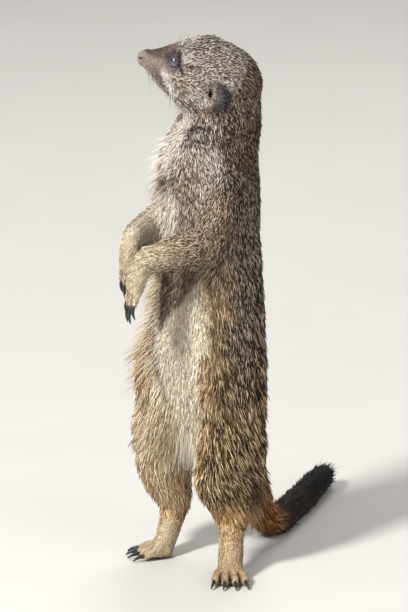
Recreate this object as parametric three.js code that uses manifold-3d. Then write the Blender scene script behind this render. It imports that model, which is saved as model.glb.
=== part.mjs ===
// A life-size meerkat standing upright on its hind feet and tail, head turned to its right with the
// nose raised, forepaws hanging in front of the chest. Millimetres, +Z up. The animal faces -Y and
// its left side is +X. Each named mesh is one part of the body, with the coat's depth included.
import * as THREE from "three";
import { mergeVertices } from "three/addons/utils/BufferGeometryUtils.js";
import Module from "manifold-3d";

const wasm = await Module();
wasm.setup();

// ---- driving dimensions -------------------------------------------------------------------------
const GAP = 0.3; // clearance between neighbouring parts
const FACET = { most: 0.22, share: 0.01 }; // edges within this, or this share of the part, are merged
const SKULL_CENTRE = [-7, 19.5, 269]; // middle of the head
const HEAD_TURN = -48; // degrees about +Z, to the animal's right
const HEAD_LIFT = 27; // degrees the nose is raised
const CHEST_TURN = -14; // degrees the shoulders follow the head
const CHEST_AXIS_Y = 15.2; // the trunk's own axis, behind the feet
const EYE_RADIUS = 4.3;
const EYE_SEAT = { forward: 18.2, up: -0.1, side: 9 }; // eyeball centre in the head's frame
const EAR_SEAT = { forward: -8, up: -6.6, side: 22.4 };
const EAR_SIZE = { long: 7.6, wide: 6.4, thick: 3.6 }; // half sizes
const EAR_FLARE = 26; // degrees the ear's back rim stands off the head
const HIND_FOOT = { spread: [-14, -4.5, 4.5, 14], pitch: 4.1, toe: [8.5, 10, 10, 8.5], claw: 5.6 };
const HAND = { spread: [-9, -3, 3, 9], pitch: 3, finger: [6.5, 8, 8, 6.5], claw: [8, 10, 10, 8] };

// ---- colours of the coat and bare parts ---------------------------------------------------------
const finish = (colour, roughness) =>
  new THREE.MeshStandardMaterial({ color: colour, roughness, metalness: 0 });
const COAT = {
  grizzled: finish(0x8a7664, 0.9),
  pale: finish(0xcbb48f, 0.9),
  tawny: finish(0xb08a58, 0.9),
  dark: finish(0x2b241f, 0.85),
};
const SKIN = { ear: finish(0x3a3230, 0.7), nose: finish(0x8a6d60, 0.45) };
const HORN = finish(0x23272b, 0.35);
const EYE = finish(0x140d08, 0.08);

// ---- shape helpers ------------------------------------------------------------------------------
const vec = (p) => new THREE.Vector3(...p);
const radians = THREE.MathUtils.degToRad;
const mix = (a, b, t) => a.map((v, i) => v + t * (b[i] - v));
const shifted = (p, d) => p.map((v, i) => v + d[i]);

// A smooth curve through points, and the same through plain numbers, both read at 0 to 1.
const smoothLine = (points) => new THREE.CatmullRomCurve3(points.map(vec), false, "catmullrom", 0.5);
function through(values) {
  const curve = smoothLine(values.map((v) => [v, 0, 0]));
  return (t) => curve.getPoint(t).x;
}

// A closed body lofted along a smooth line. Each station is a place on the line with the body's half
// sizes there: side, and front and back across it. `front` says which way front is, `turn` twists a
// section about the line, and both ends close in a dome `dome` times as high as the end is thick.
// `square` holds every section square to one direction, `grow` widens the body all round.
function loft(
  stations,
  { sides = 14, rings = 8, front = [0, -1, 0], square = null, dome = [0.6, 0.6], domeSteps = 2, grow = 0 } = {},
) {
  const line = smoothLine(stations.map((s) => s.at));
  const heading = (t) => (square ? vec(square).normalize() : line.getTangent(t));
  const size = Object.fromEntries(
    ["side", "front", "back", "turn"].map((key) => [
      key,
      through(stations.map((s) => s[key] ?? (key === "back" ? s.front : 0))),
    ]),
  );
  const domeHeight = (t, k) => dome[k] * Math.min(size.side(t), size.front(t)) + grow;
  const sections = [];
  const addSection = (t, share, shift) => {
    const along = heading(t);
    const angle = radians(size.turn(t));
    const lateral = new THREE.Vector3().crossVectors(along, vec(front)).normalize();
    const ahead = new THREE.Vector3().crossVectors(lateral, along).normalize();
    const sideways = lateral.applyAxisAngle(along, angle);
    const forwards = ahead.applyAxisAngle(along, angle);
    sections.push({
      centre: line.getPoint(t).addScaledVector(along, shift),
      sideways: sideways.multiplyScalar(share * (size.side(t) + grow)),
      forwards: forwards.clone().multiplyScalar(share * (size.front(t) + grow)),
      backwards: forwards.clone().multiplyScalar(share * (size.back(t) + grow)),
    });
  };
  const addDome = (t, k, sign) => {
    const steps = Array.from({ length: domeSteps }, (_, i) => ((i + 1) / (domeSteps + 1)) * (Math.PI / 2));
    (sign < 0 ? steps : steps.reverse()).forEach((a) =>
      addSection(t, Math.sin(a), sign * Math.cos(a) * domeHeight(t, k)),
    );
  };
  addDome(0, 0, -1);
  for (let i = 0; i <= rings; i++) addSection(i / rings, 1, 0);
  addDome(1, 1, 1);
  const points = [];
  for (const s of sections) {
    for (let k = 0; k < sides; k++) {
      const angle = (k / sides) * 2 * Math.PI;
      const depth = Math.sin(angle) >= 0 ? s.forwards : s.backwards;
      const p = s.centre.clone();
      p.addScaledVector(s.sideways, Math.cos(angle)).addScaledVector(depth, Math.sin(angle));
      points.push(p);
    }
  }
  points.push(line.getPoint(0).addScaledVector(heading(0), -domeHeight(0, 0)));
  points.push(line.getPoint(1).addScaledVector(heading(1), domeHeight(1, 1)));
  const faces = [];
  const last = sections.length - 1;
  for (let k = 0; k < sides; k++) {
    const next = (k + 1) % sides;
    faces.push(points.length - 2, next, k);
    faces.push(points.length - 1, last * sides + k, last * sides + next);
    for (let i = 0; i < last; i++) {
      const [a, b, c, d] = [i * sides + k, i * sides + next, (i + 1) * sides + next, (i + 1) * sides + k];
      faces.push(a, b, c, a, c, d);
    }
  }
  const geometry = new THREE.BufferGeometry().setFromPoints(points);
  geometry.setIndex(faces);
  return solid(geometry);
}

// A closed geometry as a manifold solid, placed by a matrix.
function solid(geometry, matrix = new THREE.Matrix4()) {
  const bare = geometry.clone();
  bare.deleteAttribute("normal");
  bare.deleteAttribute("uv");
  bare.applyMatrix4(matrix);
  const merged = mergeVertices(bare, 1e-4);
  const places = new Float32Array(merged.getAttribute("position").array);
  const corners = Array.from(merged.index.array);
  const build = () =>
    new wasm.Manifold(new wasm.Mesh({ numProp: 3, vertProperties: places, triVerts: new Uint32Array(corners) }));
  const made = build();
  if (made.volume() >= 0) return made;
  for (let i = 0; i < corners.length; i += 3) [corners[i + 1], corners[i + 2]] = [corners[i + 2], corners[i + 1]];
  return build();
}

const joined = (solids) => solids.reduce((a, b) => a.add(b));
const largest = (body) => body.decompose().sort((a, b) => b.volume() - a.volume())[0];

// An ellipsoid with half sizes (x, y, z), placed by a matrix.
const ellipsoid = (half, matrix, detail = 10) =>
  solid(
    new THREE.SphereGeometry(1, detail, Math.round(detail * 0.7)),
    matrix.clone().multiply(new THREE.Matrix4().makeScale(...half)),
  );

// Everything below the floor, which cuts small flats at one level.
const BELOW_FLOOR = solid(
  new THREE.BoxGeometry(600, 600, 60),
  new THREE.Matrix4().makeTranslation(0, 0, -30),
);

// Each part is made twice, true and wider by the gap. A part is cut by every wider part before it,
// so neighbours meet along a shared seam and never overlap.
const group = new THREE.Group();
const before = [];
const touches = (a, b) => [0, 1, 2].every((k) => a.min[k] < b.max[k] && b.min[k] < a.max[k]);
function addPart(name, material, make) {
  let body = make(0);
  for (const wide of before) {
    if (touches(body.boundingBox(), wide.boundingBox())) body = body.subtract(wide);
  }
  before.push(make(GAP));
  addMesh(name, largest(body.subtract(BELOW_FLOOR)), material);
}
function addMesh(name, body, material) {
  const { min, max } = body.boundingBox();
  const flatness = Math.min(FACET.most, FACET.share * Math.max(...max.map((v, k) => v - min[k])));
  const { numProp, vertProperties, triVerts, numVert } = largest(body.simplify(flatness)).getMesh();
  const places = new Float32Array(numVert * 3);
  for (let i = 0; i < numVert; i++) places.set(vertProperties.subarray(i * numProp, i * numProp + 3), i * 3);
  const geometry = new THREE.BufferGeometry();
  geometry.setAttribute("position", new THREE.BufferAttribute(places, 3));
  geometry.setIndex(new THREE.BufferAttribute(triVerts, 1));
  geometry.computeVertexNormals();
  const mesh = new THREE.Mesh(geometry, material);
  mesh.name = name;
  group.add(mesh);
}

// ---- head ---------------------------------------------------------------------------------------
// The head's frame: +X to its left, -Y out of the nose, +Z out of the crown.
const headFrame = new THREE.Matrix4()
  .makeTranslation(...SKULL_CENTRE)
  .multiply(new THREE.Matrix4().makeRotationZ(radians(HEAD_TURN)))
  .multiply(new THREE.Matrix4().makeRotationX(radians(-HEAD_LIFT)));
const inHead = (body) => body.transform(headFrame.elements);

// Sections from the back of the skull to the nose: distance forward, height of the top and bottom
// outline, half width, and how high between them the section is widest.
const SKULL = [
  { forward: -27, top: 12.5, bottom: -17, half: 13, widest: 0.5 },
  { forward: -20, top: 18.3, bottom: -20.5, half: 18.6, widest: 0.45 },
  { forward: -13, top: 20.4, bottom: -22.5, half: 21.6, widest: 0.41 },
  { forward: -6, top: 20.8, bottom: -23.2, half: 22.2, widest: 0.39 },
  { forward: 1, top: 19.6, bottom: -23.4, half: 21.2, widest: 0.39 },
  { forward: 8, top: 17.5, bottom: -21.8, half: 18.8, widest: 0.4 },
  { forward: 14.5, top: 14.4, bottom: -19.8, half: 15.2, widest: 0.42 },
  { forward: 20, top: 9.4, bottom: -18.4, half: 11.2, widest: 0.43 },
  { forward: 25, top: 3.8, bottom: -16.4, half: 8.2, widest: 0.42 },
  { forward: 30, top: -0.6, bottom: -13.4, half: 6.2, widest: 0.42 },
  { forward: 34.4, top: -3.6, bottom: -12, half: 4.7, widest: 0.5 },
];
const skullStation = ({ forward, top, bottom, half, widest }) => {
  const middle = bottom + widest * (top - bottom);
  return { at: [0, -forward, middle], side: half, front: top - middle, back: middle - bottom };
};
const headBody = (grow) =>
  inHead(
    loft(SKULL.map(skullStation), {
      sides: 18,
      rings: 12,
      front: [0, 0, 1],
      square: [0, -1, 0],
      dome: [0.35, 0.25],
      grow,
    }),
  );

// The bare nose: a blunt, slightly upturned pad over the end of the muzzle.
const noseBody = (grow) =>
  inHead(
    loft(
      [
        { at: [0, -31.2, -7], side: 3.2, front: 2.8, back: 3 },
        { at: [0, -33.6, -8], side: 4.5, front: 3.8, back: 4 },
        { at: [0, -35.2, -8.8], side: 3.9, front: 3.6, back: 3.6 },
      ],
      { sides: 12, rings: 3, front: [0, 0, 1], square: [0, -0.93, -0.37], dome: [0.3, 0.35], grow },
    ),
  );

const eyeBody = (sign) => (grow) =>
  inHead(
    ellipsoid(
      [EYE_RADIUS + grow, EYE_RADIUS + grow, EYE_RADIUS + grow],
      new THREE.Matrix4().makeTranslation(sign * EYE_SEAT.side, -EYE_SEAT.forward, EYE_SEAT.up),
    ),
  );

// The ear: a short cupped flap, low on the side of the head, open forwards and outwards.
const earBody = (sign) => (grow) => {
  const frame = new THREE.Matrix4()
    .makeTranslation(sign * EAR_SEAT.side, -EAR_SEAT.forward, EAR_SEAT.up)
    .multiply(new THREE.Matrix4().makeRotationZ(radians(-sign * EAR_FLARE)))
    .multiply(new THREE.Matrix4().makeRotationX(radians(-20)));
  const { long, wide, thick } = EAR_SIZE;
  const flap = ellipsoid([thick + grow, wide + grow, long + grow], frame);
  const bowl = ellipsoid(
    [thick, wide * 0.62, long * 0.62],
    frame.clone().multiply(new THREE.Matrix4().makeTranslation(sign * thick * 0.85, -wide * 0.22, 0.8)),
    8,
  );
  return inHead(grow > 0 ? flap : flap.subtract(bowl));
};

// ---- trunk, neck and tail -----------------------------------------------------------------------
const TRUNK = [
  { at: [0, 21, 64], side: 20, front: 16, back: 16 },
  { at: [0, 18, 84], side: 30, front: 24, back: 25 },
  { at: [0, 15.6, 110], side: 33, front: 28.5, back: 26 },
  { at: [0, CHEST_AXIS_Y, 136], side: 33.2, front: 29.5, back: 27.5, turn: CHEST_TURN * 0.3 },
  { at: [0, CHEST_AXIS_Y, 162], side: 31, front: 27.5, back: 27.5, turn: CHEST_TURN * 0.7 },
  { at: [0, CHEST_AXIS_Y + 0.5, 188], side: 29, front: 30, back: 27, turn: CHEST_TURN },
  { at: [-0.5, 18, 208], side: 27.8, front: 32.5, back: 27, turn: CHEST_TURN * 1.3 },
  { at: [-1, 21, 224], side: 24, front: 33, back: 24.5, turn: CHEST_TURN * 1.8 },
  { at: [-1, 23.5, 233], side: 21, front: 28, back: 22, turn: CHEST_TURN * 2.2 },
];
const NECK = [
  { at: [-0.5, 21, 218], side: 20.5, front: 25, back: 21, turn: CHEST_TURN * 1.8 },
  { at: [-1, 24.5, 234], side: 22.5, front: 28.5, back: 23, turn: CHEST_TURN * 2.4 },
  { at: [-1.5, 26, 248], side: 22.8, front: 23, back: 23, turn: CHEST_TURN * 3 },
  { at: [-2.5, 25.5, 262], side: 21, front: 15.5, back: 21, turn: CHEST_TURN * 3.2 },
];
const TAIL = [
  { at: [0, 30, 80], side: 14, front: 12.5, back: 13.5 },
  { at: [0.5, 40.5, 56], side: 10.5, front: 9.5 },
  { at: [1.2, 48.5, 34], side: 9, front: 8.6 },
  { at: [1.4, 56, 16], side: 8.2, front: 8 },
  { at: [-0.6, 69, 7.7], side: 7.6, front: 8 },
  { at: [-11, 94, 7.2], side: 7.3, front: 7.5 },
  { at: [-24, 123, 7.2], side: 7, front: 7.4 },
  { at: [-37, 151, 7.8], side: 5.8, front: 6.2 },
];
const trunkBody = (grow) => loft(TRUNK, { sides: 16, rings: 10, dome: [0.5, 0.3], grow });
const neckBody = (grow) => loft(NECK, { sides: 14, rings: 4, dome: [0.2, 0.3], domeSteps: 1, grow });
const tailBody = (grow) => loft(TAIL, { sides: 10, rings: 14, front: [0, -0.3, 1], dome: [0.3, 1.5], grow });

// A thin slab across the tail, parting one length from the next.
function partingSlab(t) {
  const line = smoothLine(TAIL.map((s) => s.at));
  const turn = new THREE.Quaternion().setFromUnitVectors(new THREE.Vector3(0, 0, 1), line.getTangent(t));
  return solid(
    new THREE.BoxGeometry(44, 44, GAP),
    new THREE.Matrix4().compose(line.getPoint(t), turn, new THREE.Vector3(1, 1, 1)),
  );
}

// ---- arms ---------------------------------------------------------------------------------------
// Joint places of each arm. The hands hang from bent wrists in front of the chest; `across` is the
// level direction over the knuckles.
const ARMS = {
  left: {
    sign: 1,
    shoulder: [24, 5, 210],
    elbow: [22.5, -11.5, 182],
    wrist: [4.5, -44, 178],
    tips: [1.5, -50.5, 153],
    across: [0.867, -0.497, 0],
  },
  right: {
    sign: -1,
    shoulder: [-23, 14, 210],
    elbow: [-27, 10, 185],
    wrist: [-10.5, -36, 188],
    tips: [-11.5, -38.5, 158.5],
    across: [0.95, -0.3, 0],
  },
};
const upperArm = ({ shoulder, elbow, sign }) => (grow) =>
  loft(
    [
      { at: shifted(shoulder, [-4 * sign, 4, 4]), side: 8.5, front: 11 },
      { at: mix(shoulder, elbow, 0.35), side: 9.5, front: 13 },
      { at: mix(shoulder, elbow, 0.75), side: 9.5, front: 12 },
      { at: elbow, side: 9, front: 10 },
    ],
    { sides: 10, rings: 4, grow },
  );
const forearm = ({ elbow, wrist }) => (grow) =>
  loft(
    [
      { at: shifted(elbow, [0, 3, 0]), side: 9, front: 14, back: 12 },
      { at: mix(elbow, wrist, 0.3), side: 8.8, front: 13, back: 11 },
      { at: mix(elbow, wrist, 0.7), side: 7.4, front: 9.6, back: 9 },
      { at: wrist, side: 6.2, front: 7.2 },
    ],
    { sides: 10, rings: 4, front: [0, 0, 1], dome: [0.5, 0.8], grow },
  );

// A digit or claw: a slender loft through points with the given radii.
const digit = (points, radii, front, grow) =>
  loft(
    points.map((p, i) => ({ at: p.toArray(), side: radii[i], front: radii[i] })),
    { sides: 5, rings: 2, front, dome: [0.5, 0.8], domeSteps: 1, grow },
  );
const claw = (points, radii, front) => (grow) =>
  loft(
    points.map((p, i) => ({ at: p.toArray(), side: radii[i] * 0.75, front: radii[i] })),
    { sides: 5, rings: 3, front, dome: [0.3, 0.8], domeSteps: 1, grow },
  );

// The hand's knuckles, fingers and claws, worked out once from the arm's joints.
function handPlan(arm) {
  const wrist = vec(arm.wrist);
  const reach = vec(arm.tips).sub(wrist);
  const heading = reach.clone().normalize();
  const across = vec(arm.across).normalize();
  const facing = new THREE.Vector3().crossVectors(heading, across).normalize();
  const knuckle = wrist.clone().addScaledVector(reach, 0.62);
  const fingers = HAND.spread.map((angle, i) => {
    const way = heading.clone().applyAxisAngle(facing, radians(angle));
    const base = knuckle.clone().addScaledVector(across, (i - 1.5) * HAND.pitch);
    const tip = base.clone().addScaledVector(way, HAND.finger[i]);
    const inwards = new THREE.Vector3(0, 1, -0.2);
    const bow = new THREE.Vector3(0, -1.1, 0.3);
    const nail = [0, 0.35, 0.7, 1].map((t) =>
      tip
        .clone()
        .addScaledVector(way, t * HAND.claw[i])
        .addScaledVector(bow, Math.sin(Math.PI * t))
        .addScaledVector(inwards, t * t * 2.5),
    );
    return { line: [base, base.clone().lerp(tip, 0.5), tip], nail };
  });
  return { wrist, reach, knuckle, fingers, facing: facing.toArray() };
}
const palmAndFingers = ({ wrist, reach, knuckle, fingers, facing }) => (grow) => {
  const at = (t) => wrist.clone().addScaledVector(reach, t).toArray();
  const palm = loft(
    [
      { at: at(0.12), side: 5.8, front: 5.6 },
      { at: at(0.35), side: 6.4, front: 5.6 },
      { at: knuckle.toArray(), side: 6.2, front: 4.4 },
    ],
    { sides: 8, rings: 3, front: facing, dome: [0.5, 0.4], domeSteps: 1, grow },
  );
  return joined([palm, ...fingers.map(({ line }) => digit(line, [2.6, 2.5, 2.3], facing, grow))]);
};

// ---- legs ---------------------------------------------------------------------------------------
const LEGS = {
  left: {
    sign: 1,
    hip: [18, 14, 98],
    thigh: [21.5, 7.5, 76],
    calf: [22.6, 4, 52],
    ankle: [24.6, 4.4, 37],
    hock: [26.5, 4, 27],
    ball: [39.5, -12.5, 5],
    splay: 42,
    fringe: { front: 7, back: 7 },
    flank: [
      { at: [21, -9, 177], radius: 8 },
      { at: [18, -7, 158], radius: 6 },
      { at: [17, -8, 138], radius: 5.5 },
      { at: [19, -7.5, 111], radius: 8 },
      { at: [22, -3, 94], radius: 11 },
    ],
  },
  right: {
    sign: -1,
    hip: [-17, 14, 100],
    thigh: [-24.5, 5.5, 78],
    calf: [-25.5, 5, 50],
    ankle: [-22.4, 7.3, 36],
    hock: [-20.5, 10, 26],
    ball: [-17.5, -3, 5],
    splay: 39,
    fringe: { front: 0, back: 0 },
    flank: [
      { at: [-20.5, -4.5, 137], radius: 3.5 },
      { at: [-22, -5, 129], radius: 5 },
      { at: [-24.5, -4.5, 111], radius: 8.6 },
      { at: [-25, -1.5, 94], radius: 11 },
    ],
  },
};
// The thigh, with the fold of skin that runs from it up the flank.
const thigh = ({ hip, thigh: middle, calf, fringe, flank }) => (grow) =>
  joined([
    loft(
      [
        { at: hip, side: 17, front: 20, back: 19 },
        { at: mix(hip, middle, 0.6), side: 16.5, front: 20.5, back: 20 },
        { at: mix(middle, calf, 0.2), side: 16.5, front: 18.5 + fringe.front * 0.2, back: 20 + fringe.back * 0.5 },
        { at: mix(middle, calf, 0.7), side: 15.5, front: 15.5 + fringe.front * 0.5, back: 17.5 + fringe.back },
      ],
      { sides: 12, rings: 5, dome: [0.3, 0.4], domeSteps: 1, grow },
    ),
    loft(
      flank.map(({ at, radius }) => ({ at, side: radius, front: radius })),
      { sides: 8, rings: flank.length, dome: [0.8, 0.8], domeSteps: 1, grow },
    ),
  ]);
const shank = ({ thigh: middle, calf, ankle, hock, fringe }) => (grow) =>
  loft(
    [
      { at: mix(middle, calf, 0.6), side: 15, front: 14.5 + fringe.front * 0.5, back: 17 + fringe.back },
      { at: mix(calf, ankle, 0.2), side: 15.2, front: 13.5 + fringe.front, back: 17 + fringe.back },
      { at: mix(calf, ankle, 0.85), side: 12.3, front: 11 + fringe.front * 0.5, back: 14 + fringe.back * 0.8 },
      { at: hock, side: 8.5, front: 8, back: 9.5 },
    ],
    { sides: 12, rings: 4, dome: [0.2, 0.5], domeSteps: 1, grow },
  );

// The foot's toes and claws, worked out once from the leg's joints.
function footPlan({ sign, hock, ball, splay }) {
  const toeing = new THREE.Vector3(Math.sin(radians(splay)) * sign, -Math.cos(radians(splay)), 0);
  const outwards = new THREE.Vector3(-toeing.y, toeing.x, 0);
  const toes = HIND_FOOT.spread.map((angle, i) => {
    const way = toeing.clone().applyAxisAngle(new THREE.Vector3(0, 0, 1), radians(angle));
    const base = vec(ball).addScaledVector(toeing, 3).addScaledVector(outwards, (i - 1.5) * HIND_FOOT.pitch);
    const middle = base.clone().addScaledVector(way, HIND_FOOT.toe[i] * 0.5).setZ(4.8);
    const tip = base.clone().addScaledVector(way, HIND_FOOT.toe[i]).setZ(2.7);
    const nail = [-0.15, 0.35, 0.7, 1].map((t) =>
      tip
        .clone()
        .addScaledVector(way, 1.6 + t * HIND_FOOT.claw)
        .setZ(2.9 + 0.7 * Math.sin(Math.PI * Math.max(t, 0)) - 1.9 * t),
    );
    return { line: [base.setZ(5), middle, tip], nail };
  });
  return { toeing, hock, ball, toes, turn: radians(splay * sign) };
}
const footBody = ({ toeing, hock, ball, toes, turn }) => (grow) => {
  const instep = loft(
    [
      { at: hock, side: 7, front: 7 },
      { at: mix(hock, ball, 0.5), side: 6.6, front: 6.4 },
      { at: mix(hock, ball, 0.88), side: 7, front: 6 },
      { at: vec(ball).addScaledVector(toeing, 6).setZ(4.2).toArray(), side: 7.8, front: 4.2 },
    ],
    { sides: 8, rings: 3, front: toeing.toArray(), dome: [0.4, 0.5], domeSteps: 1, grow },
  );
  const pad = ellipsoid(
    [8.2 + grow, 7.8 + grow, 4.6 + grow],
    new THREE.Matrix4()
      .makeTranslation(ball[0] + toeing.x * 2.4, ball[1] + toeing.y * 2.4, 3.4)
      .multiply(new THREE.Matrix4().makeRotationZ(turn)),
    8,
  );
  return joined([instep, pad, ...toes.map(({ line }) => digit(line, [3.1, 3, 2.6], [0, 0, 1], grow))]);
};

// ---- build --------------------------------------------------------------------------------------
const SIDES = { left: 1, right: -1 };
const hands = Object.fromEntries(Object.entries(ARMS).map(([side, arm]) => [side, handPlan(arm)]));
const feet = Object.fromEntries(Object.entries(LEGS).map(([side, leg]) => [side, footPlan(leg)]));

// The hard parts first, so the flesh is cut round them.
for (const [side, sign] of Object.entries(SIDES)) {
  addPart(`eye_${side}`, EYE, eyeBody(sign));
  hands[side].fingers.forEach(({ nail }, i) =>
    addPart(`claw_fore_${side}_${i + 1}`, HORN, claw(nail, [1.4, 1.25, 0.9, 0.4], hands[side].facing)),
  );
  feet[side].toes.forEach(({ nail }, i) =>
    addPart(`claw_hind_${side}_${i + 1}`, HORN, claw(nail, [1.4, 1.25, 0.9, 0.45], [0, 0, 1])),
  );
}
addPart("nose", SKIN.nose, noseBody);
addPart("head", COAT.grizzled, headBody);
addPart("trunk", COAT.grizzled, trunkBody);
addPart("neck", COAT.grizzled, neckBody);
for (const [side, sign] of Object.entries(SIDES)) {
  addPart(`ear_${side}`, SKIN.ear, earBody(sign));
  addPart(`upper_arm_${side}`, COAT.grizzled, upperArm(ARMS[side]));
  addPart(`forearm_${side}`, COAT.pale, forearm(ARMS[side]));
  addPart(`forepaw_${side}`, COAT.pale, palmAndFingers(hands[side]));
  addPart(`thigh_${side}`, COAT.grizzled, thigh(LEGS[side]));
  addPart(`shank_${side}`, COAT.tawny, shank(LEGS[side]));
  addPart(`hind_paw_${side}`, COAT.pale, footBody(feet[side]));
}

// The tail in three lengths.
before
  .reduce((tail, wide) => (touches(tail.boundingBox(), wide.boundingBox()) ? tail.subtract(wide) : tail), tailBody(0))
  .subtract(BELOW_FLOOR)
  .subtract(partingSlab(0.4))
  .subtract(partingSlab(0.74))
  .decompose()
  .sort((a, b) => b.volume() - a.volume())
  .slice(0, 3)
  .sort((a, b) => a.boundingBox().min[1] - b.boundingBox().min[1])
  .forEach((body, i) => addMesh(["tail_root", "tail_middle", "tail_tip"][i], body, i === 2 ? COAT.dark : COAT.tawny));

// The origin is the middle of the whole body's box, at the floor.
const box = new THREE.Box3().setFromObject(group);
const middle = box.getCenter(new THREE.Vector3());
group.children.forEach((mesh) => mesh.position.set(-middle.x, -middle.y, 0));
group.userData.offset = [-middle.x, -middle.y, 0];

export default group;
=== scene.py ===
"""A life-size meerkat standing upright on its hind feet and tail.

One skin is made from all the flesh of the frame, drawn in by the depth of the coat, and given its
lids, nostrils, mouth line and ear bowls. Tufts of fur grow from it along the lie of the coat. Eyes
and claws stay separate. Sizes are in millimetres in the tables, and turned into metres where used.
"""

import math
from itertools import product

import bmesh
import bpy
import numpy as np
from mathutils import Matrix, Vector
from mathutils.bvhtree import BVHTree
from mathutils.kdtree import KDTree


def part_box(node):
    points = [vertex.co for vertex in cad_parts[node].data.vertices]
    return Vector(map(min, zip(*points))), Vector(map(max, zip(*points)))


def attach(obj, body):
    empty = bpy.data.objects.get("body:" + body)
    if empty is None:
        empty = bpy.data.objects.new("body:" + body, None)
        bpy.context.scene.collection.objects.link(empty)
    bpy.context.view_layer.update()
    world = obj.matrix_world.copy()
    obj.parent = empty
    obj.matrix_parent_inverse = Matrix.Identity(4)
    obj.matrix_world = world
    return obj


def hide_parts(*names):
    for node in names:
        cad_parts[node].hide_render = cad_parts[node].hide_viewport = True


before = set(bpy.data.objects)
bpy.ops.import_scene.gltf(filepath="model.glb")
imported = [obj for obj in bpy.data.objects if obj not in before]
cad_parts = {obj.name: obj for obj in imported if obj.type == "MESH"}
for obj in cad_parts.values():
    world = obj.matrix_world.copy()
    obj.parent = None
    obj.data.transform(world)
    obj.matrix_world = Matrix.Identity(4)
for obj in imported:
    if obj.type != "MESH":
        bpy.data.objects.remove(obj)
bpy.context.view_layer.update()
bpy.ops.object.select_all(action="DESELECT")

MM = 0.001
SIDES = {"left": 1.0, "right": -1.0}

# ---- how the animal stands ----------------------------------------------------------------------
HEAD_TURN = -48.0  # degrees about +Z, to the animal's right
HEAD_LIFT = 27.0  # degrees the nose is raised
SKULL_IN_PLAN = np.array([-7.0, 19.5])  # x and y of the head's middle, from between the feet
TRUNK_AXIS = np.array([0.0, 15.0])  # x and y of the trunk's middle, from between the feet

# In the head's own frame: to its left, forward out of the nose, and up out of the crown.
EYE = {"forward": 18.2, "up": -0.1, "side": 9.0}  # the middle of the left socket
EYEBALL = {"radius": 3.6, "sunk": 0.7}  # the visible eye, a little smaller than its socket
LOOK = np.array([0.80, 0.53, 0.18])  # which way the left eye looks
EAR = {"forward": -8.0, "up": -6.6, "side": 22.4, "flare": 26.0}  # the flare is in degrees
CANAL = np.array([0.0, 2.8, 0.5])  # the mouth of the ear's canal, from the ear's middle
NOSE = np.array([0.0, 35.2, -8.8])  # the middle of the nose's front
NOSE_FRONT = np.array([0.0, 0.93, -0.37])  # which way that front faces
NOSE_UP = np.array([0.0, 0.37, 0.93])

# ---- the view -----------------------------------------------------------------------------------
VIEW = {"azimuth": 42.0, "elevation": 15.0, "distance": 4.0, "height": 612 * 0.54 * MM}
AIM = np.array([5.2, 4.7, 144.0])  # what the camera looks at, from between the feet


# ---- small helpers ------------------------------------------------------------------------------
def unit(v):
    return v / np.maximum(np.linalg.norm(v, axis=-1, keepdims=True), 1e-9)


def far(places):
    return np.linalg.norm(places, axis=1)


def ramp(x, low, high):
    """0 below low, 1 above high, smooth between. low may be the greater."""
    t = np.clip((x - low) / (high - low), 0, 1)
    return t * t * (3 - 2 * t)


def bump(x, width):
    """1 at nought, fading out on both sides at about the width."""
    return np.exp(-((x / width) ** 2))


def spot(x, y, wide, high):
    """1 at nought, fading out all round at about the half width and half height."""
    return np.exp(-((x / wide) ** 2) - (y / high) ** 2)


def turned(axis, degrees):
    return np.array(Matrix.Rotation(math.radians(degrees), 3, axis))


def linear(r, g, b):
    """A colour given on 0 to 255, as the renderer's linear light."""
    c = np.array([r, g, b]) / 255
    return np.where(c < 0.04045, c / 12.92, ((c + 0.055) / 1.055) ** 2.4)


def middle_of(name):
    low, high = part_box(name)
    return (np.array(low) + np.array(high)) / 2 / MM


# The head's frame: columns to its left, out of the nose and out of the crown.
HEAD_AXES = turned("Z", HEAD_TURN) @ turned("X", -HEAD_LIFT) @ np.diag([1.0, -1.0, 1.0])
eye_middle = (middle_of("eye_left") + middle_of("eye_right")) / 2
SKULL = eye_middle - HEAD_AXES @ np.array([0, EYE["forward"], EYE["up"]])
# The point on the floor between the feet, from which the animal's own places are counted.
BETWEEN_FEET = np.append(SKULL[:2] - SKULL_IN_PLAN, 0.0)


def in_head(places):
    """Side, forward and up in the head's frame, in millimetres, of places in millimetres."""
    return (places - SKULL) @ HEAD_AXES


def from_head(side, forward, up):
    """A place in the head's own frame, counted from between the feet."""
    return tuple(SKULL + HEAD_AXES @ np.array([side, forward, up]) - BETWEEN_FEET)


def around_trunk(places):
    """Degrees round the trunk from the middle of the belly, positive to the animal's left."""
    local = places - BETWEEN_FEET
    return np.degrees(np.arctan2(local[:, 0] - TRUNK_AXIS[0], -(local[:, 1] - TRUNK_AXIS[1])))


# ---- mesh helpers -------------------------------------------------------------------------------
def read(collection, key, width, kind=np.float32):
    """A property of every vertex, edge or face of a mesh, as an array."""
    flat = np.empty(len(collection) * width, dtype=kind)
    collection.foreach_get(key, flat)
    return flat.reshape(-1, width) if width > 1 else flat


def places_of(mesh):
    return read(mesh.vertices, "co", 3).astype(float) / MM


def set_places(mesh, places):
    mesh.vertices.foreach_set("co", (places * MM).ravel())
    mesh.update()


def normals_of(mesh):
    return read(mesh.vertex_normals, "vector", 3).astype(float)


def apply_modifier(piece, kind, **settings):
    modifier = piece.modifiers.new(kind.lower(), kind)
    for key, value in settings.items():
        setattr(modifier, key, value)
    bpy.context.view_layer.objects.active = piece
    bpy.ops.object.modifier_apply(modifier=modifier.name)


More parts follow.
